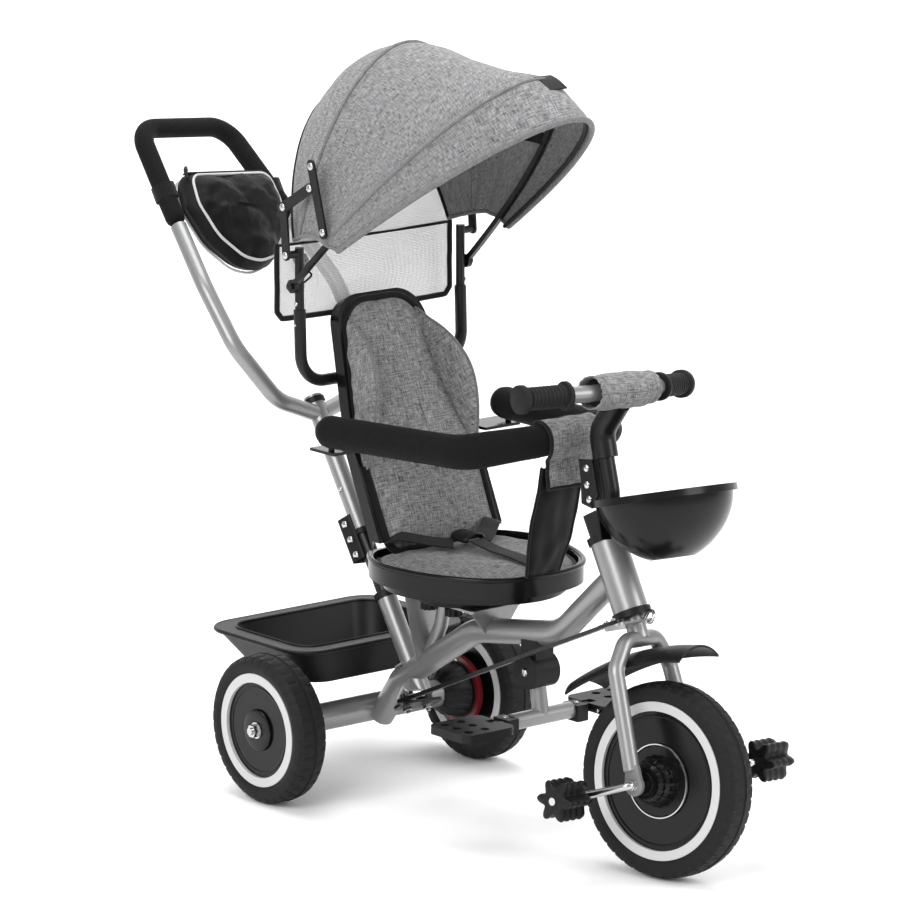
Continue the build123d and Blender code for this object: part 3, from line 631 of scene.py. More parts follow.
def repeated(name, points, tree, unit, finish, body, facings=None, spacing=0.004, parked=True):
    mesh = bpy.data.meshes.new(name + "_places")
    edges = [(i, i + 1) for i in range(len(points) - 1)] if facings is None else []
    mesh.from_pydata([tuple(p) for p in points], edges, [])
    if facings is not None:
        attribute = mesh.attributes.new("facing", "FLOAT_VECTOR", "POINT")
        for i, facing in enumerate(facings):
            attribute.data[i].vector = Vector(facing)
    holder = bpy.data.objects.new(name + "_places", mesh)
    bpy.context.scene.collection.objects.link(holder)
    modifier = holder.modifiers.new("repeat", "NODES")
    modifier.node_group = tree
    sockets = {s.name: s.identifier for s in tree.interface.items_tree if s.in_out == "INPUT"}
    modifier[sockets["Unit"]] = unit
    modifier[sockets["Finish"]] = finish
    modifier[sockets["Spacing"]] = spacing
    depsgraph = bpy.context.evaluated_depsgraph_get()
    made = bpy.data.meshes.new_from_object(holder.evaluated_get(depsgraph))
    bpy.data.objects.remove(holder)
    if parked and body in PARKED:
        made.transform(PARKED[body])
    made.name = name
    if not made.materials:
        made.materials.append(finish)
    rounded(made, 40)
    obj = bpy.data.objects.new(name, made)
    bpy.context.scene.collection.objects.link(obj)
    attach(obj, body)
    return obj


def fasteners(name, places, unit, finish, body, parked=True):
    points = [at(*place) for place, _ in places]
    facings = [facing for _, facing in places]
    return repeated(name, points, FASTENER_TREE, unit, finish, body, facings=facings, parked=parked)


def stitches(name, path, body):
    return repeated(name, path, STITCH_TREE, STITCH, THREAD, body, spacing=0.0046)


def ripple(point, scale, size, seed=0.0):
    return noise.noise(Vector(point) * scale + Vector((seed, seed * 2.3, seed * 0.7))) * size


# ------------------------------------------------------------------ wheels
def tyre_profile(radius):
    return [(-20.5, radius - 23.8), (-23.2, radius - 20), (-24, radius - 14), (-22.2, radius - 7),
        (-17.5, radius - 2.2), (-10, radius - 0.4),
            (-3.6, radius), (-2.6, radius - 1.6), (2.6, radius - 1.6), (3.6, radius),
            (10, radius - 0.4), (17.5, radius - 2.2), (22.2, radius - 7), (24, radius - 14),
            (23.2, radius - 20), (20.5, radius - 23.8)]


def tread(lugs, radius):
    def cut(angle, along, size):
        if size < radius - 9 or abs(along) < 5:
            return 0
        phase = (angle * lugs / (2 * pi) + (abs(along) - 8) * 0.035 + (0.5 if along > 0 else 0)) % 1
        return -1.9 if phase < 0.2 else 0
    return cut


for node_name, centre, radius, lugs, body in (
    ("rear_tyre_left", at(0, REAR_TRACK, REAR_RADIUS), REAR_RADIUS, 36, "rear_wheel_left"),
    ("rear_tyre_right", at(0, -REAR_TRACK, REAR_RADIUS), REAR_RADIUS, 36, "rear_wheel_right"),
    ("front_tyre", at(FRONT_AXLE_X, 0, FRONT_RADIUS), FRONT_RADIUS, 44, "front_wheel"),
):
    made = spun(node_name + "_tread", tyre_profile(radius), centre, (0, 1, 0), TYRE, body, around=lugs * 8,
                relief=tread(lugs, radius), crease=28)
    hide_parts(node_name)

def cone_ribs(angle, along, size):
    return 1.1 if (angle * 18 / (2 * pi)) % 1 < 0.45 and size > 14 else 0


HUB_CAP = [(19.5, 28), (20.6, 27.4), (21.4, 25), (21.2, 12), (19.8, 11.4), (19.5, 11.4)]
REAR_GROOVE = [(16.6, 58.5), (17.8, 58), (18, 56.6), (17.6, 55.4), (16.6, 55)]
HUB_CONE = [(17, 46), (18.4, 45.6), (19.4, 44), (19.2, 33), (22, 31.5), (32, 28), (40, 22), (46, 15),
    (48, 14), (48, 6), (17, 6)]
HUB_RING = [(19.2, 48.2), (20.6, 47.6), (20.6, 46.2), (19.2, 45.8)]
DISC_STEP = [(16.6, 84.5), (18, 84), (18.4, 82.4), (17.9, 81), (16.6, 80.6)]
for y, side in SIDES:
    out = (0, y, 0)
    body = f"rear_wheel_{side}"
    centre = at(0, y * REAR_TRACK, REAR_RADIUS)
    spun(f"{body}_hub_cap", HUB_CAP, centre, out, GLOSS, body)
    spun(f"{body}_disc_groove", REAR_GROOVE, centre, out, GLOSS, body)
    fasteners(f"{body}_axle_nut", [((0, y * 200.5, REAR_RADIUS), out)], HEX_NUT, CHROME, body)
for y, side in SIDES:
    out = (0, y, 0)
    centre = at(FRONT_AXLE_X, 0, FRONT_RADIUS)
    spun(f"front_hub_cone_{side}", HUB_CONE, centre, out, GLOSS, "front_wheel", around=144,
        relief=cone_ribs, crease=30)
    spun(f"front_hub_ring_{side}", HUB_RING, centre, out, CHROME, "front_wheel")
    spun(f"front_disc_step_{side}", DISC_STEP, centre, out, GLOSS, "front_wheel", around=96)
    fasteners(f"front_axle_nut_{side}", [((FRONT_AXLE_X, y * 68.2, FRONT_RADIUS), out)], HEX_NUT, CHROME,
        "steering")


# Pedals: a flower-shaped block with rubber studs.
def petals(angle, along, size):
    if size < 12:
        return 0
    stud = 1.3 if (along // 6) % 2 == 0 else 0
    return 5.5 * cos(6 * angle) * (1 if abs(along) < 23 else 0.6) + stud


PEDAL_END = [(22.5, 20.5), (24, 17), (24, 5.1)]
PEDAL = [(-along, size) for along, size in reversed(PEDAL_END)] + [(along, 21.5) for along in range(-20, 21,
    3)] + PEDAL_END
for y, side in SIDES:
    centre = at(FRONT_AXLE_X + y * 63, y * 124, FRONT_RADIUS + y * 23)
    made = spun(f"pedal_block_{side}", PEDAL, centre, (0, 1, 0), PLASTIC, f"pedal_{side}", around=96,
        relief=petals, crease=30)
    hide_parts(f"pedal_{side}")

# ------------------------------------------------------------------ foam covers
GUARD_PATH = [(80, 150, 511), (330, 120, 518), (RING_X, 62, RING_Z), (RING_X, 1.5, RING_Z)]


def guard_size(t):
    elbow = 1.8 * exp(-((t - 0.68) / 0.1) ** 2)
    return (21.4 + elbow - 1.0 * max(t - 0.8, 0) / 0.2) / 1000


def foam_bumps(distance, angle):
    return 1 + 0.006 * sin(distance * 900) * sin(angle * 18)


for y, side in SIDES:
    path = bent([at(a, y * b, c) for a, b, c in GUARD_PATH], (0.07, 0.05), step=0.0035)
    made = tube(f"guard_cover_{side}", path[5:-1], guard_size, FOAM, f"guard_{side}", around=48,
        shape=foam_bumps)
    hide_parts(f"guard_{side}")
    tube(f"guard_seam_{side}", [p + Vector((0, 0, -0.0212)) for p in path[10:-12]], 0.0011, FOAM,
        f"guard_{side}", around=8)

LOOP = [(-114, 552.5, -20), (-104, 612, -32), (-86, 712, -52)]
loop_points = LOOP + [(-y, up, forward) for y, up, forward in reversed(LOOP)]
loop_path = bent([HANDLE.point(forward, y, up) for y, up, forward in loop_points], (0.1, 0.038, 0.038, 0.1),
    step=0.0035)
made = tube("handle_grip_foam", loop_path[4:-4], 0.0134, FOAM, "push_handle", around=40, shape=foam_bumps)
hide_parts("foam_loop")

# ------------------------------------------------------------------ grips and bar sleeve
BAR_END = {y: Vector((449, y * 161, 600)) for y in (-1, 1)}
BAR_INNER = {y: Vector((482, y * 26, BAR_Z)) for y in (-1, 1)}
for y, side in SIDES:
    inward = (BAR_INNER[y] - BAR_END[y]).normalized()
    profile = [(-4.2, 1), (-4.2, 16.6), (-3.2, 18.4), (3.4, 18.4), (5, 17), (6, 14.6)]
    for k in range(9):
        start = 10 + k * 6
        profile += [(start, 13.3), (start + 1, 14.7), (start + 3.6, 14.7), (start + 4.6, 13.3)]
    profile += [(65, 14.2), (66, 18), (67, 18.6), (71, 18.6), (72.6, 17), (73, 11.4), (72, 11.2), (0, 11.2),
        (0, 1)]
    spun(f"grip_{side}", profile, at(*BAR_END[y]), inward, TYRE, "steering", around=40,
         relief=lambda angle, along, size: 0.35 * (abs(sin(angle * 10)) - 0.5) if 8 < along < 64
         and size > 13 else 0)
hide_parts("grips")

sleeve_rows = []
for i in range(57):
    y = -58 + 116 * i / 56
    row = []
    for k in range(61):
        angle = 2 * pi * k / 60
        swell = 21.3 + 1.2 * cos(y / 58 * pi / 2) + ripple((y * 0.04, angle * 1.2, 3), 1.0, 1.6)
        pinch = 2.4 * exp(-((abs(y) - 50) / 7) ** 2)
        fray = (1.5 if (k % 4) < 2 else 0) if i in (0, 56) else 0
        size = swell - pinch
        row.append(at(480 - abs(y) * 0.05 + size * cos(angle), y + (fray if i else -fray),
            BAR_Z + size * sin(angle)))
    sleeve_rows.append(row)
made = sheet_of("bar_sleeve_cloth", sleeve_rows, HEATHER, "steering", thickness=0.002)
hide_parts("bar_sleeve")
for y in (-50, 50):
    ring_path = [at(480 - 2.5 + 21.2 * cos(a / 40 * 2 * pi), y,
        BAR_Z + 21.2 * sin(a / 40 * 2 * pi)) for a in range(41)]
    stitches(f"bar_sleeve_stitch_{'left' if y > 0 else 'right'}", ring_path, "steering")

# ------------------------------------------------------------------ seat cushion and back
PAN = [(96, 0), (104, 84), (170, 130), (262, 122), (336, 78), (358, 0), (336, -78), (262, -122),
    (170, -130), (104, -84)]


def pan_line(shrink, count=120):
    centre = Vector((216, 0, 0))
    path = curved([Vector((x, y, 0)) + (centre - Vector((x, y, 0))).normalized() * shrink for x, y in PAN],
        step=0.1, closed=True)
    path = path[:-1]
    return [(p.x, p.y) for p in path[::max(1, len(path) // count)]]


def seat_spine(x, y):
    return (min(max(x, 195), 262), y * 0.18)


def seat_wrinkle(x, y):
    fold = -3.2 * exp(-((x - 200 - 0.12 * abs(y)) / 7) ** 2) - 2.4 * exp(-(y / 7) ** 2) * (1 if x > 215
        else 0.4)
    return fold + ripple((x, y, 0), 0.03, 2.2) + ripple((x, y, 9), 0.09, 0.8)


seat_outline = pan_line(12)
seat_outline = [(max(x, 127 + 0.0004 * y * y), y) for x, y in seat_outline]
made = pillow("seat_pad", seat_outline, seat_spine, 15, HEATHER, "seat", lambda u, v, h: at(u, v, 338 + h),
    under=12, wrinkle=seat_wrinkle)
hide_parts("seat_cushion")
edge_path = [at(x, y, 338) for x, y in seat_outline]
tube("seat_pad_piping", evenly(edge_path + [edge_path[0]], 0.004), 0.0042, BINDING, "seat", around=12,
    closed=True)


def back_line():
    half, head, top = 95, 57, 324
    flat = [Vector((y, s, 0)) for y, s in ((0, -14), (half - 4, -14), (half, 130), (head, top),
        (-head, top), (-half, 130), (-half + 4, -14), (0, -14))]
    path = bent(flat, (18, 60, 42, 42, 60, 18), step=6)
    return [(p.x, p.y) for p in path[:-1]]


def back_spine(y, s):
    return (y * 0.12, min(max(s, 70), 250))


def back_wrinkle(y, s):
    fold = -4.0 * exp(-((s - 96 + 0.0015 * y * y) / 6) ** 2) + 2.2 * exp(-((s - 84) / 9) ** 2)
    middle = -2.2 * exp(-(y / 9) ** 2) * (1 if s > 110 else 0.3)
    drape = 1.6 * sin(s * 0.045 + y * 0.03)
    return fold + middle + drape + ripple((y, s, 4), 0.022, 3.0) + ripple((y, s, 1), 0.07, 1.1)


back_outline = back_line()
made = pillow("back_pad", back_outline, back_spine, 15, HEATHER, "seat",
              lambda u, v, h: BACK.point(-6 + h, u, v), under=8, wrinkle=back_wrinkle, rings=22)
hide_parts("back_cushion")
binding_path = [BACK.point(-3, y, s) for y, s in back_outline]
tube("back_pad_binding", evenly(binding_path + [binding_path[0]], 0.004), 0.0052, BINDING, "seat",
    around=14, closed=True)
inset = [BACK.point(2.5, y * 0.915, s + (155 - s) * 0.055) for y, s in back_outline]
stitches("back_pad_stitches", evenly(inset, 0.004), "seat")

# Side wings: padded flaps that stand forward from the edge of the back.
WING = [(-4, -30), (14, -8), (34, 22), (49, 62), (50, 92), (38, 128), (18, 154), (-4, 172)]
for y, side in SIDES:
    edge = (BACK.up * 195 - BACK.left * 38 * y).normalized()
    out = edge.cross(BACK.forward) * (-y)
    out = out if out.y * y > 0 else -out
    root = BACK.mm(0, y * 89, 130)
    rim = curved([Vector((f, h, 0)) for f, h in WING + [(-8, 70)]], step=5, closed=True)[:-1]
    outline = [(p.x, p.y) for p in rim]

    def wing_place(u, v, h, root=root, edge=edge, out=out):
        flare = 0.0022 * max(u, 0) ** 2
        return at(*(root + BACK.forward * u + edge * v + out * (h + flare)))

    made = pillow(f"back_wing_{side}", outline, lambda u, v: (16 + (u - 16) * 0.2, min(max(v, 30), 110)),
        10, HEATHER, "seat",
                  wing_place, under=10, rings=12,
                  wrinkle=lambda u, v: ripple((u, v, 2), 0.045,
                  2.4) - 1.5 * exp(-((u - 12 - v * 0.1) / 4) ** 2))
    seam = [wing_place(p.x, p.y, 0) for p in rim]
    tube(f"back_wing_piping_{side}", evenly(seam + [seam[0]], 0.004), 0.0016, PIPING, "seat", around=10,
        closed=True)

# ------------------------------------------------------------------ belt
for y, side in SIDES:
    path = curved([at(138, y * 92, 366), at(152, y * 78, 372), at(176, y * 50, 366), at(196, y * 24, 362)],
        step=0.004)
    ribbon(f"lap_belt_{side}", path, 0.025, 0.0016, BINDING, "seat", lambda t: (0.35, 0, 0.94))
buckle = []
for x, w in ((178, 12), (180, 16), (186, 18), (206, 18), (212, 16), (214, 12)):
    buckle.append([at(x, -w, 364), at(x, -w, 370), at(x, -w * 0.6, 373.5), at(x, 0, 374.4),
        at(x, w * 0.6, 373.5), at(x, w, 370), at(x, w, 364)])
sheet_of("belt_buckle", buckle, PLASTIC, "seat", thickness=0.0022, subdivide=2)
ribbon("crotch_belt", curved([at(214, 0, 367), at(250, 1, 361), at(290, 2, 359), at(322, 3, 355)],
    step=0.005), 0.025, 0.0016, BINDING, "seat", (0, 0, 1))

# ------------------------------------------------------------------ guard flap
flap_rows = []
for i in range(45):
    y = 45 - 88 * i / 44
    row = []
    for k in range(41):
        t = k / 40
        angle = radians(118 - 178 * t)
        reach = 23.9 + ripple((y * 0.05, t * 4, 0), 1.0, 1.4) + (3.5 * max(t - 0.7, 0) / 0.3)
        row.append(at(RING_X + reach * cos(angle), y, RING_Z + reach * sin(angle)))
    drop = row[-1]
    for k in range(1, 13):
        lean = k * 3.1
        row.append(drop + Vector((0.0002 * k + ripple((y * 0.06, k * 0.2, 5), 1.0, 0.0025), 0,
            -lean / 1000)))
    flap_rows.append(row)
made = sheet_of("guard_flap_cloth", flap_rows, HEATHER, "guard_right", thickness=0.0022)
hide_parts("guard_flap")
rim_path = [row[0] for row in flap_rows] + flap_rows[-1][1:] + [row[-1]
    for row in flap_rows[::-1]][1:] + flap_rows[0][::-1][1:-1]
tube("guard_flap_binding", evenly(rim_path + [rim_path[0]], 0.003), 0.0026, BINDING, "guard_right",
    around=10, closed=True)

panel_rows = []
for i in range(25):
    t = i / 24
    wide = 31 + 7 * sin(t * pi) - 4 * t
    row = []
    for k in range(17):
        s = k / 16 * 2 - 1
        billow = 3 * (1 - s * s) * sin(t * pi) + ripple((s * 2, t * 5, 8), 1.0, 2.4)
        row.append(at(407 - 39 * t ** 1.1 + billow * min(t * 6, 1) - 5 * max(1 - t * 5, 0), -18 + s * wide,
            500 - 148 * t))
    panel_rows.append(row)
made = sheet_of("crotch_panel", panel_rows, NYLON, "guard_right", thickness=0.002)
for k, side in ((0, "right"), (-1, "left")):
    tube(f"crotch_panel_piping_{side}", [row[k] for row in panel_rows], 0.0022, BINDING, "guard_right",
        around=10)

# ------------------------------------------------------------------ hood
LIP = 57
SLICES = [(-17, 248, 136), (-3, 290, 139), (10.2, 318, 150), (26, 345, 153), (38, 380, 153), (47, 432, 153),
    (52, 449, 152), (LIP, 464, 149)]


def hood_size(angle):
    for i in range(len(SLICES) - 1):
        if angle <= SLICES[i + 1][0] or i == len(SLICES) - 2:
            break
    a, b, c, d = SLICES[max(i - 1, 0)], SLICES[i], SLICES[i + 1], SLICES[min(i + 2, len(SLICES) - 1)]
    t = (angle - b[0]) / (c[0] - b[0])
    sizes = []
    for k in (1, 2):
        start = (c[k] - a[k]) / (c[0] - a[0]) * (c[0] - b[0]) if a is not b else c[k] - b[k]
        end = (d[k] - b[k]) / (d[0] - b[0]) * (c[0] - b[0]) if d is not c else c[k] - b[k]
        sizes.append(b[k] * (2 * t ** 3 - 3 * t * t + 1) + start * (t ** 3 - 2 * t * t + t)
            + c[k] * (3 * t * t - 2 * t ** 3) + end * (t ** 3 - t * t))
    return sizes


def hood_point(angle, phi, grow=0.0):
    reach, half = hood_size(angle)
    lean = radians(angle)
    y = -(half + grow) * cos(phi)
    along = (reach + grow) * sin(phi)
    return Vector((HINGE_X + along * sin(lean), y, HINGE_Z + along * cos(lean)))


def hem_start(angle):
    lean = radians(angle)
    along = 63.4 / (cos(lean) - 0.325 * sin(lean)) if angle < 16 else 72 + 0.8 * (angle
        - 16) + 0.4 * max(angle - 47, 0)
    return asin(min(along / hood_size(angle)[0], 0.97))


def hood_fold(angle, phi):
    side = abs(phi - pi / 2) / (pi / 2)
    pull = 2.2 * sin(angle * 0.42 + phi * 3) * side ** 2
    sag = -6.0 * max(sin((angle - 10) / 37 * pi), 0) * (1 - side) if 10 < angle < 47 else 0
    return pull + sag + ripple((angle * 0.09, phi * 2.2, 1), 1.0, 3.4) + ripple((angle * 0.25, phi * 6, 5),
        1.0, 1.3)


def hood_rows(first, last, steps, across=73):
    rows = []
    for i in range(steps + 1):
        angle = first + (last - first) * i / steps
        start = hem_start(angle)
        row = []
        for j in range(across):
            phi = start + (pi - 2 * start) * j / (across - 1)
            fade = min(i, steps - i, 4) / 4
            row.append(at(*hood_point(angle, phi,
                -1.5 + hood_fold(angle, phi) * (0.35 + 0.65 * fade) * 0.7)))
        rows.append(row)
    return rows


rear_rows = hood_rows(-17, 10.2, 26)
front_rows = hood_rows(10.8, LIP, 60)
for name, rows, body, replaced in (("hood_rear_panel", rear_rows, "seat", "hood_rear"),
                                         ("hood_front_panel", front_rows, "canopy_front", "hood_front")):
    made = sheet_of(name, rows, HEATHER, body, thickness=0.0024)
    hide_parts(replaced)


def arch_path(angle, grow, across=90):
    start = hem_start(angle)
    return [at(*hood_point(angle, start + (pi - 2 * start) * j / across,
        grow + hood_fold(angle, start + (pi - 2 * start) * j / across) * 0.25)) for j in range(across + 1)]


tube("hood_rear_piping", evenly(arch_path(10.6, 0.4), 0.004), 0.0028, PIPING, "canopy_front", around=10)
tube("hood_hoop_piping", evenly(arch_path(47, 0.2), 0.004), 0.0024, PIPING, "canopy_front", around=10)
tube("hood_lip_hem", evenly(front_rows[-1], 0.004), 0.0040, PIPING, "canopy_front", around=12)
tube("hood_lip_binding", evenly(arch_path(LIP - 1, -6.5), 0.004), 0.0030, BINDING, "canopy_front",
    around=10)
for name, rows, body in (("rear", rear_rows, "seat"), ("front", front_rows, "canopy_front")):
    for j, side in ((0, "right"), (-1, "left")):
        tube(f"hood_{name}_hem_{side}", evenly([row[j] for row in rows], 0.004), 0.0032, PIPING, body,
            around=10)
tube("hood_back_hem", evenly(rear_rows[0], 0.004), 0.0030, BINDING, "seat", around=10)
for angle, side in ((12.4, "rear"), (45.2, "hoop_back"), (48.8, "hoop_front"), (LIP - 2, "lip")):
    stitches(f"hood_stitches_{side}", evenly(arch_path(angle, 0.3), 0.004), "canopy_front")
tab = [at(*hood_point(angle, pi / 2 + off, 1.6)) for angle,
    off in ((46.2, 0.10), (47.4, 0.10), (48.8, 0.10), (50.2, 0.10))]
ribbon("hood_tab", curved(tab, step=0.003), 0.03, 0.002, BINDING, "canopy_front", (0.5, 0, 0.9))
strap = [at(*hood_point(angle, 2.42, -8)) for angle in (20, 28, 36, 44, 47)]
ribbon("hood_inner_strap", curved(strap, step=0.006), 0.016, 0.0016, BINDING, "canopy_front", (0, -1, 0))

# ------------------------------------------------------------------ window net
net_rows = []
for i in range(31):
    z = 641 + 98 * i / 30
    row = []
    for k in range(41):
        s = k / 40 * 2 - 1
        belly = -5 * (1 - s * s) * sin(i / 30 * pi) + ripple((s * 3, i * 0.12, 2), 1.0, 1.4)
        corner = 8 * max(0, 1 - i / 3) * (abs(s) ** 8)
        row.append(at(-17 + min(belly, 1.5) - 1, s * (146 - corner), z + 1.5 * abs(s) ** 2))
    net_rows.append(row)
made = sheet_of("window_net_lower", net_rows, MESH, "seat", thickness=0.0008)
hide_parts("canopy_mesh")
upper_rows = []
for i in range(31):
    along = 42 + 200 * i / 30
    half = 134 * sqrt(max(1 - (along / 246) ** 2, 0.0004))
    lean = radians(-17.2)
    row = []
    for k in range(41):
        s = k / 40 * 2 - 1
        belly = -6 * (1 - s * s) * sin(min(i / 30, 1) * pi)
        x = 17 + along * sin(lean) - 4 + belly
        join = max(0, 1 - i / 8)
        row.append(at(x * (1 - join) - 18 * join, s * (half * (1 - join) + 146 * join),
            HINGE_Z + along * cos(lean) + (0 if i > 8 else (739 - HINGE_Z - 42 * cos(lean)) * join)))
    upper_rows.append(row)
made = sheet_of("window_net_upper", upper_rows, MESH, "seat", thickness=0.0008)
net_rim = [row[0] for row in net_rows[::-1]] + net_rows[0][1:] + [row[-1] for row in net_rows[1:]]
tube("window_net_binding", evenly(net_rim, 0.004), 0.0038, BINDING, "seat", around=10)
tube("window_net_seam", evenly(net_rows[-1], 0.005), 0.0022, BINDING, "seat", around=8)
ribbon("window_tab", [at(-14, -112, 724), at(-10, -110, 716), at(-6, -106, 706)], 0.02, 0.002, HEATHER,
    "seat", (1, -0.3, 0.1))
tube("window_elastic", curved([at(-6, -106, 706), at(2, -104, 700), at(10, -118, 696), at(16, -129, 694)],
    step=0.004), 0.0014, BINDING, "seat", around=8)

# ------------------------------------------------------------------ bag
bag_outline = []
bag_edge = [Vector(p).to_3d() for p in ((-84, 2), (84, 2), (90, -44), (72, -98), (34, -134), (0, -142),
    (-34, -134), (-72, -98), (-90, -44))]
bag_edge = bent([Vector((0, 2, 0))] + bag_edge[1:] + bag_edge[:1] + [Vector((0, 2, 0))],
    (18, 40, 55, 50, 60, 50, 55, 40, 18), step=5)
for p in bag_edge[:-1]:
    bag_outline.append((p.x, p.y))


def bag_place(u, v, h):
    sag = 0.0007 * (-v) * max(0, 1 - (u / 95) ** 2) * 8
    return HANDLE.point(-17 + h - sag * 0.4, u, 622 + v - sag)


def bag_wrinkle(u, v):
    return 2.6 * sin(u * 0.07 + v * 0.05) + ripple((u, v, 6), 0.04, 5.0) + ripple((u, v, 2), 0.11, 2.0)


made = pillow("bag_pouch", bag_outline, lambda u, v: (u * 0.35, -58), 31, NYLON, "push_handle", bag_place,
    under=29, wrinkle=bag_wrinkle, rings=20)
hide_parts("bag")
for name, scale, h in (("front", 0.90, 16.5), ("back", 0.97, -13)):
    line = [bag_place(u * scale, -62 + (v + 62) * scale, h) for u, v in bag_outline]
    tube(f"bag_piping_{name}", evenly(line + [line[0]], 0.004), 0.0019, WHITE_PIPING, "push_handle",
        around=10, closed=True)
zip_line = [bag_place(u, 2.5, 6) for u in range(-76, 77, 4)]
ribbon("bag_zip", zip_line, 0.007, 0.002, BINDING, "push_handle", HANDLE.up)
tube("bag_zip_pull", curved([bag_place(-72, 6, 8), bag_place(-78, 8, 14), bag_place(-84, 3, 16),
    bag_place(-86, -8, 16)], step=0.002), 0.0022, PLASTIC, "push_handle", around=10)
for y in (-1, 1):
    wrap = [HANDLE.point(-30 + 15.4 * cos(a / 24 * 2 * pi), y * 105 + 15.4 * sin(a / 24 * 2 * pi),
        606) for a in range(25)]
    ribbon(f"bag_strap_{'left' if y > 0 else 'right'}", wrap, 0.022, 0.0018, BINDING, "push_handle",
           (lambda t, y=y: HANDLE.forward * cos(t * 2 * pi) + HANDLE.left * sin(t * 2 * pi)))

# ------------------------------------------------------------------ fasteners and small hardware
DOWN_BACK = -HANDLE.forward
fasteners("canopy_rivets", [((x, y * 159.2, z), (0, y, 0)) for y in (-1, 1) for x,
    z in ((12, 797), (68, 829), (95, 775), (17, 734), (71, 858))],
          DOME, CHROME, "seat")
fasteners("canopy_pivot_bolts", [((HINGE_X, y * 153.2, HINGE_Z), (0, y, 0)) for y in (-1, 1)], DOME,
    BLACK_COAT, "seat")
fasteners("canopy_post_rivets", [((HINGE_X, y * 142.2, z), (0, y, 0)) for y in (-1, 1) for z in (640,
    668)] + [((16, y * 120, 570.2), (0, 0, 1)) for y in (-1, 1)], SMALL_DOME, CHROME, "seat")
fasteners("latch_plate_rivets", [((x, y * 15.7, z), (0, y, 0)) for y in (-1, 1) for x,
    z in ((444, 502), (447, 481), (452, 463))], DOME, CHROME, "steering")
fasteners("fork_eye_screws", [((588, y * 70.5, 150), (0, y, 0)) for y in (-1, 1)] + [((551, y * 63, 247),
    (-0.6, y, 0)) for y in (-1, 1)], SMALL_DOME, CHROME, "steering")
fasteners("basket_screws", [(tuple(BASKET.mm(-60.5, y, z)), tuple(BASKET.forward)) for y in (-26,
    26) for z in (-12, -32)], PAN_SCREW, CHROME, "steering")
fasteners("footrest_clamp_screw", [((337, y * 20.1, 216), (0, y, 0)) for y in (-1, 1)], PAN_SCREW, CHROME,
    "frame")
fasteners("plate_hinge_screws", [((345, y * 60, 164.2), (0, 0, 1)) for y in (-1,
    1)] + [((371.2, y * 76, 156), (1, 0, 0)) for y in (-1, 1)], SMALL_DOME, CHROME, "frame")


def latch_at(forward, y, up):
    return tuple(HANDLE.mm(forward, y, up))


fasteners("handle_latch_rivets", [(latch_at(-12, y * 15.2, up), (0, y, 0)) for y in (-1, 1) for up in (60,
    82, 104)], DOME, CHROME, "push_handle")
fasteners("handle_joint_rivets", [(latch_at(0, y * 12.6, up), (0, y, 0)) for y in (-1, 1) for up in (150,
    236)], SMALL_DOME, CHROME, "push_handle")
fasteners("seat_bracket_bolts", [((x, y, 277.8), (0, 0, -1)) for x in (124, 240) for y in (-30, 30)],
    SMALL_DOME, CHROME, "frame")
fasteners("steering_rod_nut", [(tuple(HEAD.mm(-7.6, -39.3, -7.2)), tuple(HEAD.up))], SMALL_DOME, CHROME,
    "steering", parked=False)
fasteners("lever_bolts", [(latch_at(0, 0, -162.2), tuple(-HANDLE.up)),
    (latch_at(0, -40, -162.2), tuple(-HANDLE.up))], HEX_NUT, CHROME, "push_handle")
fasteners("brake_pivot_caps", [((0, y * 142.2, 138.5), (0, y, 0)) for y in (-1, 1)], SMALL_DOME, CHROME,
    "frame")

# Curled hook bolt on the steering arm plate.
hook = [HEAD.point(14, 4, -15.8), HEAD.point(20, 4, -12), HEAD.point(27, 3, -9), HEAD.point(33, 1, -12),
    HEAD.point(34, -2, -19), HEAD.point(29, -4, -24), HEAD.point(24, -3, -23)]
tube("arm_hook_bolt", curved(hook, step=0.0015), 0.0024, CHROME, "steering", around=12)

# Lever return spring beside the handle foot.
coil = []
for k in range(220):
    angle = k / 220 * 2 * pi * 11
    coil.append(HANDLE.point(12 + 5 * cos(angle), -14 - 24 * k / 220, -150 + 5 * sin(angle)))
tube("lever_spring", coil, 0.0009, CHROME, "push_handle", around=8)

# Black rims on the handle's socket, the arm stub and the tube ends.
for name, up, radius, body, turn in (("handle_collar", 88, 14.2, "push_handle", HANDLED),
        ("handle_tube_rim", 279, 14.6, "push_handle", HANDLED)):
    spun(name, [(-4, radius - 1.6), (-3.4, radius), (3.4, radius), (4, radius - 1.6)],
        HANDLE.point(0, 0, up), HANDLE.up, PLASTIC, body, around=40)
spun("socket_mouth_cap", [(-9, 13.7), (-8.4, 16), (-1, 16.4), (0.4, 15), (0.6, 11.3), (-0.2, 11.2)],
    HANDLE.point(0, 0, 0), HANDLE.up, PLASTIC, "frame", around=40)

# Short brace between the socket and the main tube, with a weld bead at each end.
tube("seat_brace", [at(118, 0, 196), at(142, 0, 240), at(150, 0, 272)], 0.0095, SILVER, "frame", around=24)
for name, x, z, radius, axis in (("socket_weld", 70, 172, 17.6, (-0.537, 0, 0.843)),
        ("brace_weld", 118, 197, 11.5, (0.4, 0, 0.9))):
    spun(name, [(-1.6, radius - 2.6), (-1, radius - 0.6), (0.4, radius), (1.6, radius - 1.2),
        (1.8, radius - 2.8)], at(x, 0, z), axis, SILVER, "frame",
         around=80, relief=lambda angle, along, size: 0.5 * sin(angle * 26))
spun("under_tube_stub", [(-17, 1), (-17, 10), (-16, 11), (16, 11), (17, 10), (17, 1)], at(96, -22, 136),
    (0.5, 0, 0.86), SILVER, "frame", around=40)

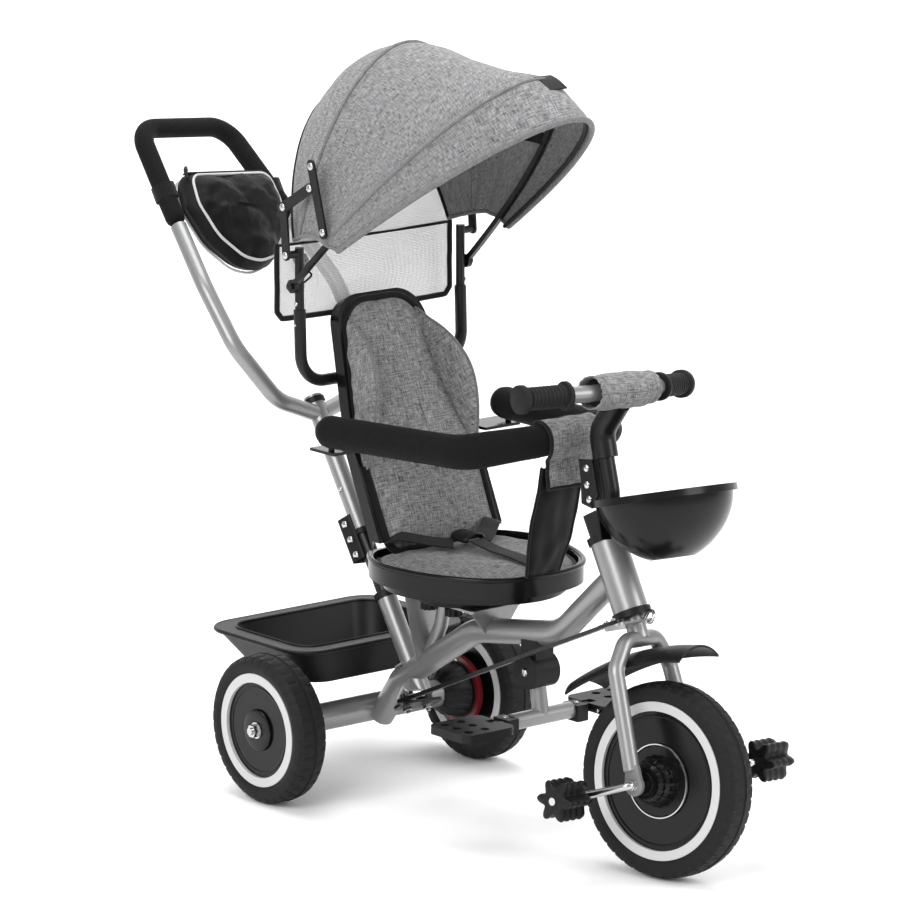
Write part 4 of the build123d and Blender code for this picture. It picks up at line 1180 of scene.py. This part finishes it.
# Ribs around the hub cups.
for y, side in SIDES:
    def cup_ribs(angle, along, size):
        return 1.5 if (angle * 16 / (2 * pi)) % 1 < 0.42 else 0
    spun(f"hub_cup_ribs_{side}", [(109, 21.3), (118.6, 30.2), (141, 35.6), (141.6, 30), (109, 18)],
        at(0, 0, 100), (0, y, 0), PLASTIC, "frame",
         around=128, relief=cup_ribs, crease=30)

# Seat shell edge: a rounded roll along the pan, and the swivel's ribbed collar.
lip = [at(x, y, 346) for x, y in pan_line(0, 160) if x > 112]
lip.sort(key=lambda p: atan2(p.y, p.x - at(230, 0, 0).x))
tube("seat_pan_roll", evenly(lip, 0.004), 0.0034, GLOSS, "seat", around=12)
spun("swivel_collar", [(8.6, 46.2), (9.2, 49.5), (13, 51), (19, 50.5), (22, 48), (22.6, 46.2)],
    at(186, 0, 284), (0, 0, 1), PLASTIC, "seat",
     around=144, relief=lambda angle, along, size: 0.8 if (angle * 36 / (2 * pi)) % 1 < 0.5 and size > 48
     else 0)

# Tray: rolled rim and a raised inner bead.
tray_rim = bent([Vector(p) for p in ((-78, -145, 200), (30, -145, 200), (30, 145, 200), (-186, 145, 200),
    (-186, -145, 200), (-78, -145, 200))], (42, 42, 42, 42), step=6)
tube("rear_tray_roll", [at(p.x, p.y, p.z - 2.4) for p in tray_rim], 0.0030, PLASTIC, "frame", around=12,
    closed=True)
inner_rim = bent([Vector(p) for p in ((-78, -122, 200), (7, -122, 200), (7, 122, 200), (-163, 122, 200),
    (-163, -122, 200), (-78, -122, 200))], (30, 30, 30, 30), step=6)
tube("rear_tray_bead", [at(p.x, p.y, p.z + 0.4) for p in inner_rim], 0.0018, PLASTIC, "frame", around=8,
    closed=True)

# ------------------------------------------------------------------ floor, light and camera
floor_mesh = bpy.data.meshes.new("studio_floor")
reach = 9
profile = [(-reach, 0), (1.6, 0)] + [(1.6 + 1.2 * sin(radians(a)),
    1.2 - 1.2 * cos(radians(a))) for a in range(10, 91, 10)] + [(2.8, 7)]
CAMERA_AZIMUTH, CAMERA_ELEVATION = radians(50.36), radians(12.28)
CAMERA_SIDE = Vector((sin(CAMERA_AZIMUTH), -cos(CAMERA_AZIMUTH), 0))
ACROSS = Vector((CAMERA_SIDE.y, -CAMERA_SIDE.x, 0))
verts, faces = [], []
for depth, height in profile:
    for s in (-reach, reach):
        p = -CAMERA_SIDE * depth + ACROSS * s
        verts.append((p.x, p.y, height - 0.0004))
for i in range(len(profile) - 1):
    faces.append((i * 2, i * 2 + 1, i * 2 + 3, i * 2 + 2))
floor_mesh.from_pydata(verts, [], faces)
for face in floor_mesh.polygons:
    face.use_smooth = True
studio_floor = bpy.data.objects.new("studio_floor", floor_mesh)
bpy.context.scene.collection.objects.link(studio_floor)
floor_finish, _, floor_surface, _ = start_material("studio_paper")
floor_surface.inputs["Base Color"].default_value = (0.97, 0.97, 0.97, 1)
floor_surface.inputs["Roughness"].default_value = 0.9
floor_mesh.materials.append(floor_finish)

world = bpy.data.worlds.new("studio")
world.use_nodes = True
world.node_tree.nodes["Background"].inputs[0].default_value = (1, 1, 1, 1)
world.node_tree.nodes["Background"].inputs[1].default_value = 0.6
bpy.context.scene.world = world
bpy.context.scene.view_settings.view_transform = "Standard"


def softbox(name, place, target, size, power):
    light = bpy.data.lights.new(name, "AREA")
    light.shape = "RECTANGLE"
    light.size, light.size_y = size
    light.energy = power
    holder = bpy.data.objects.new(name, light)
    holder.location = place
    holder.rotation_euler = (Vector(target) - Vector(place)).to_track_quat("-Z", "Y").to_euler()
    bpy.context.scene.collection.objects.link(holder)


softbox("softbox_left", (1.2, -3.4, 2.6), (0, 0, 0.5), (2.4, 2.4), 105)
softbox("softbox_right", (3.6, 1.6, 2.4), (0, 0, 0.5), (1.8, 2.6), 85)
softbox("softbox_top", (-0.4, 0.2, 3.6), (0, 0, 0.3), (2.6, 2.6), 105)

lens = bpy.data.cameras.new("studio_camera")
lens.sensor_width = 36
lens.lens = 6000 / 920 * 36
lens.clip_end = 60
camera = bpy.data.objects.new("studio_camera", lens)
azimuth, elevation = CAMERA_AZIMUTH, CAMERA_ELEVATION
backward = Vector((sin(azimuth) * cos(elevation), -cos(azimuth) * cos(elevation), sin(elevation)))
camera.location = (5.9209, -4.8782, 2.1321)
camera.rotation_euler = (-backward).to_track_quat("-Z", "Y").to_euler()
bpy.context.scene.collection.objects.link(camera)
bpy.context.scene.camera = camera
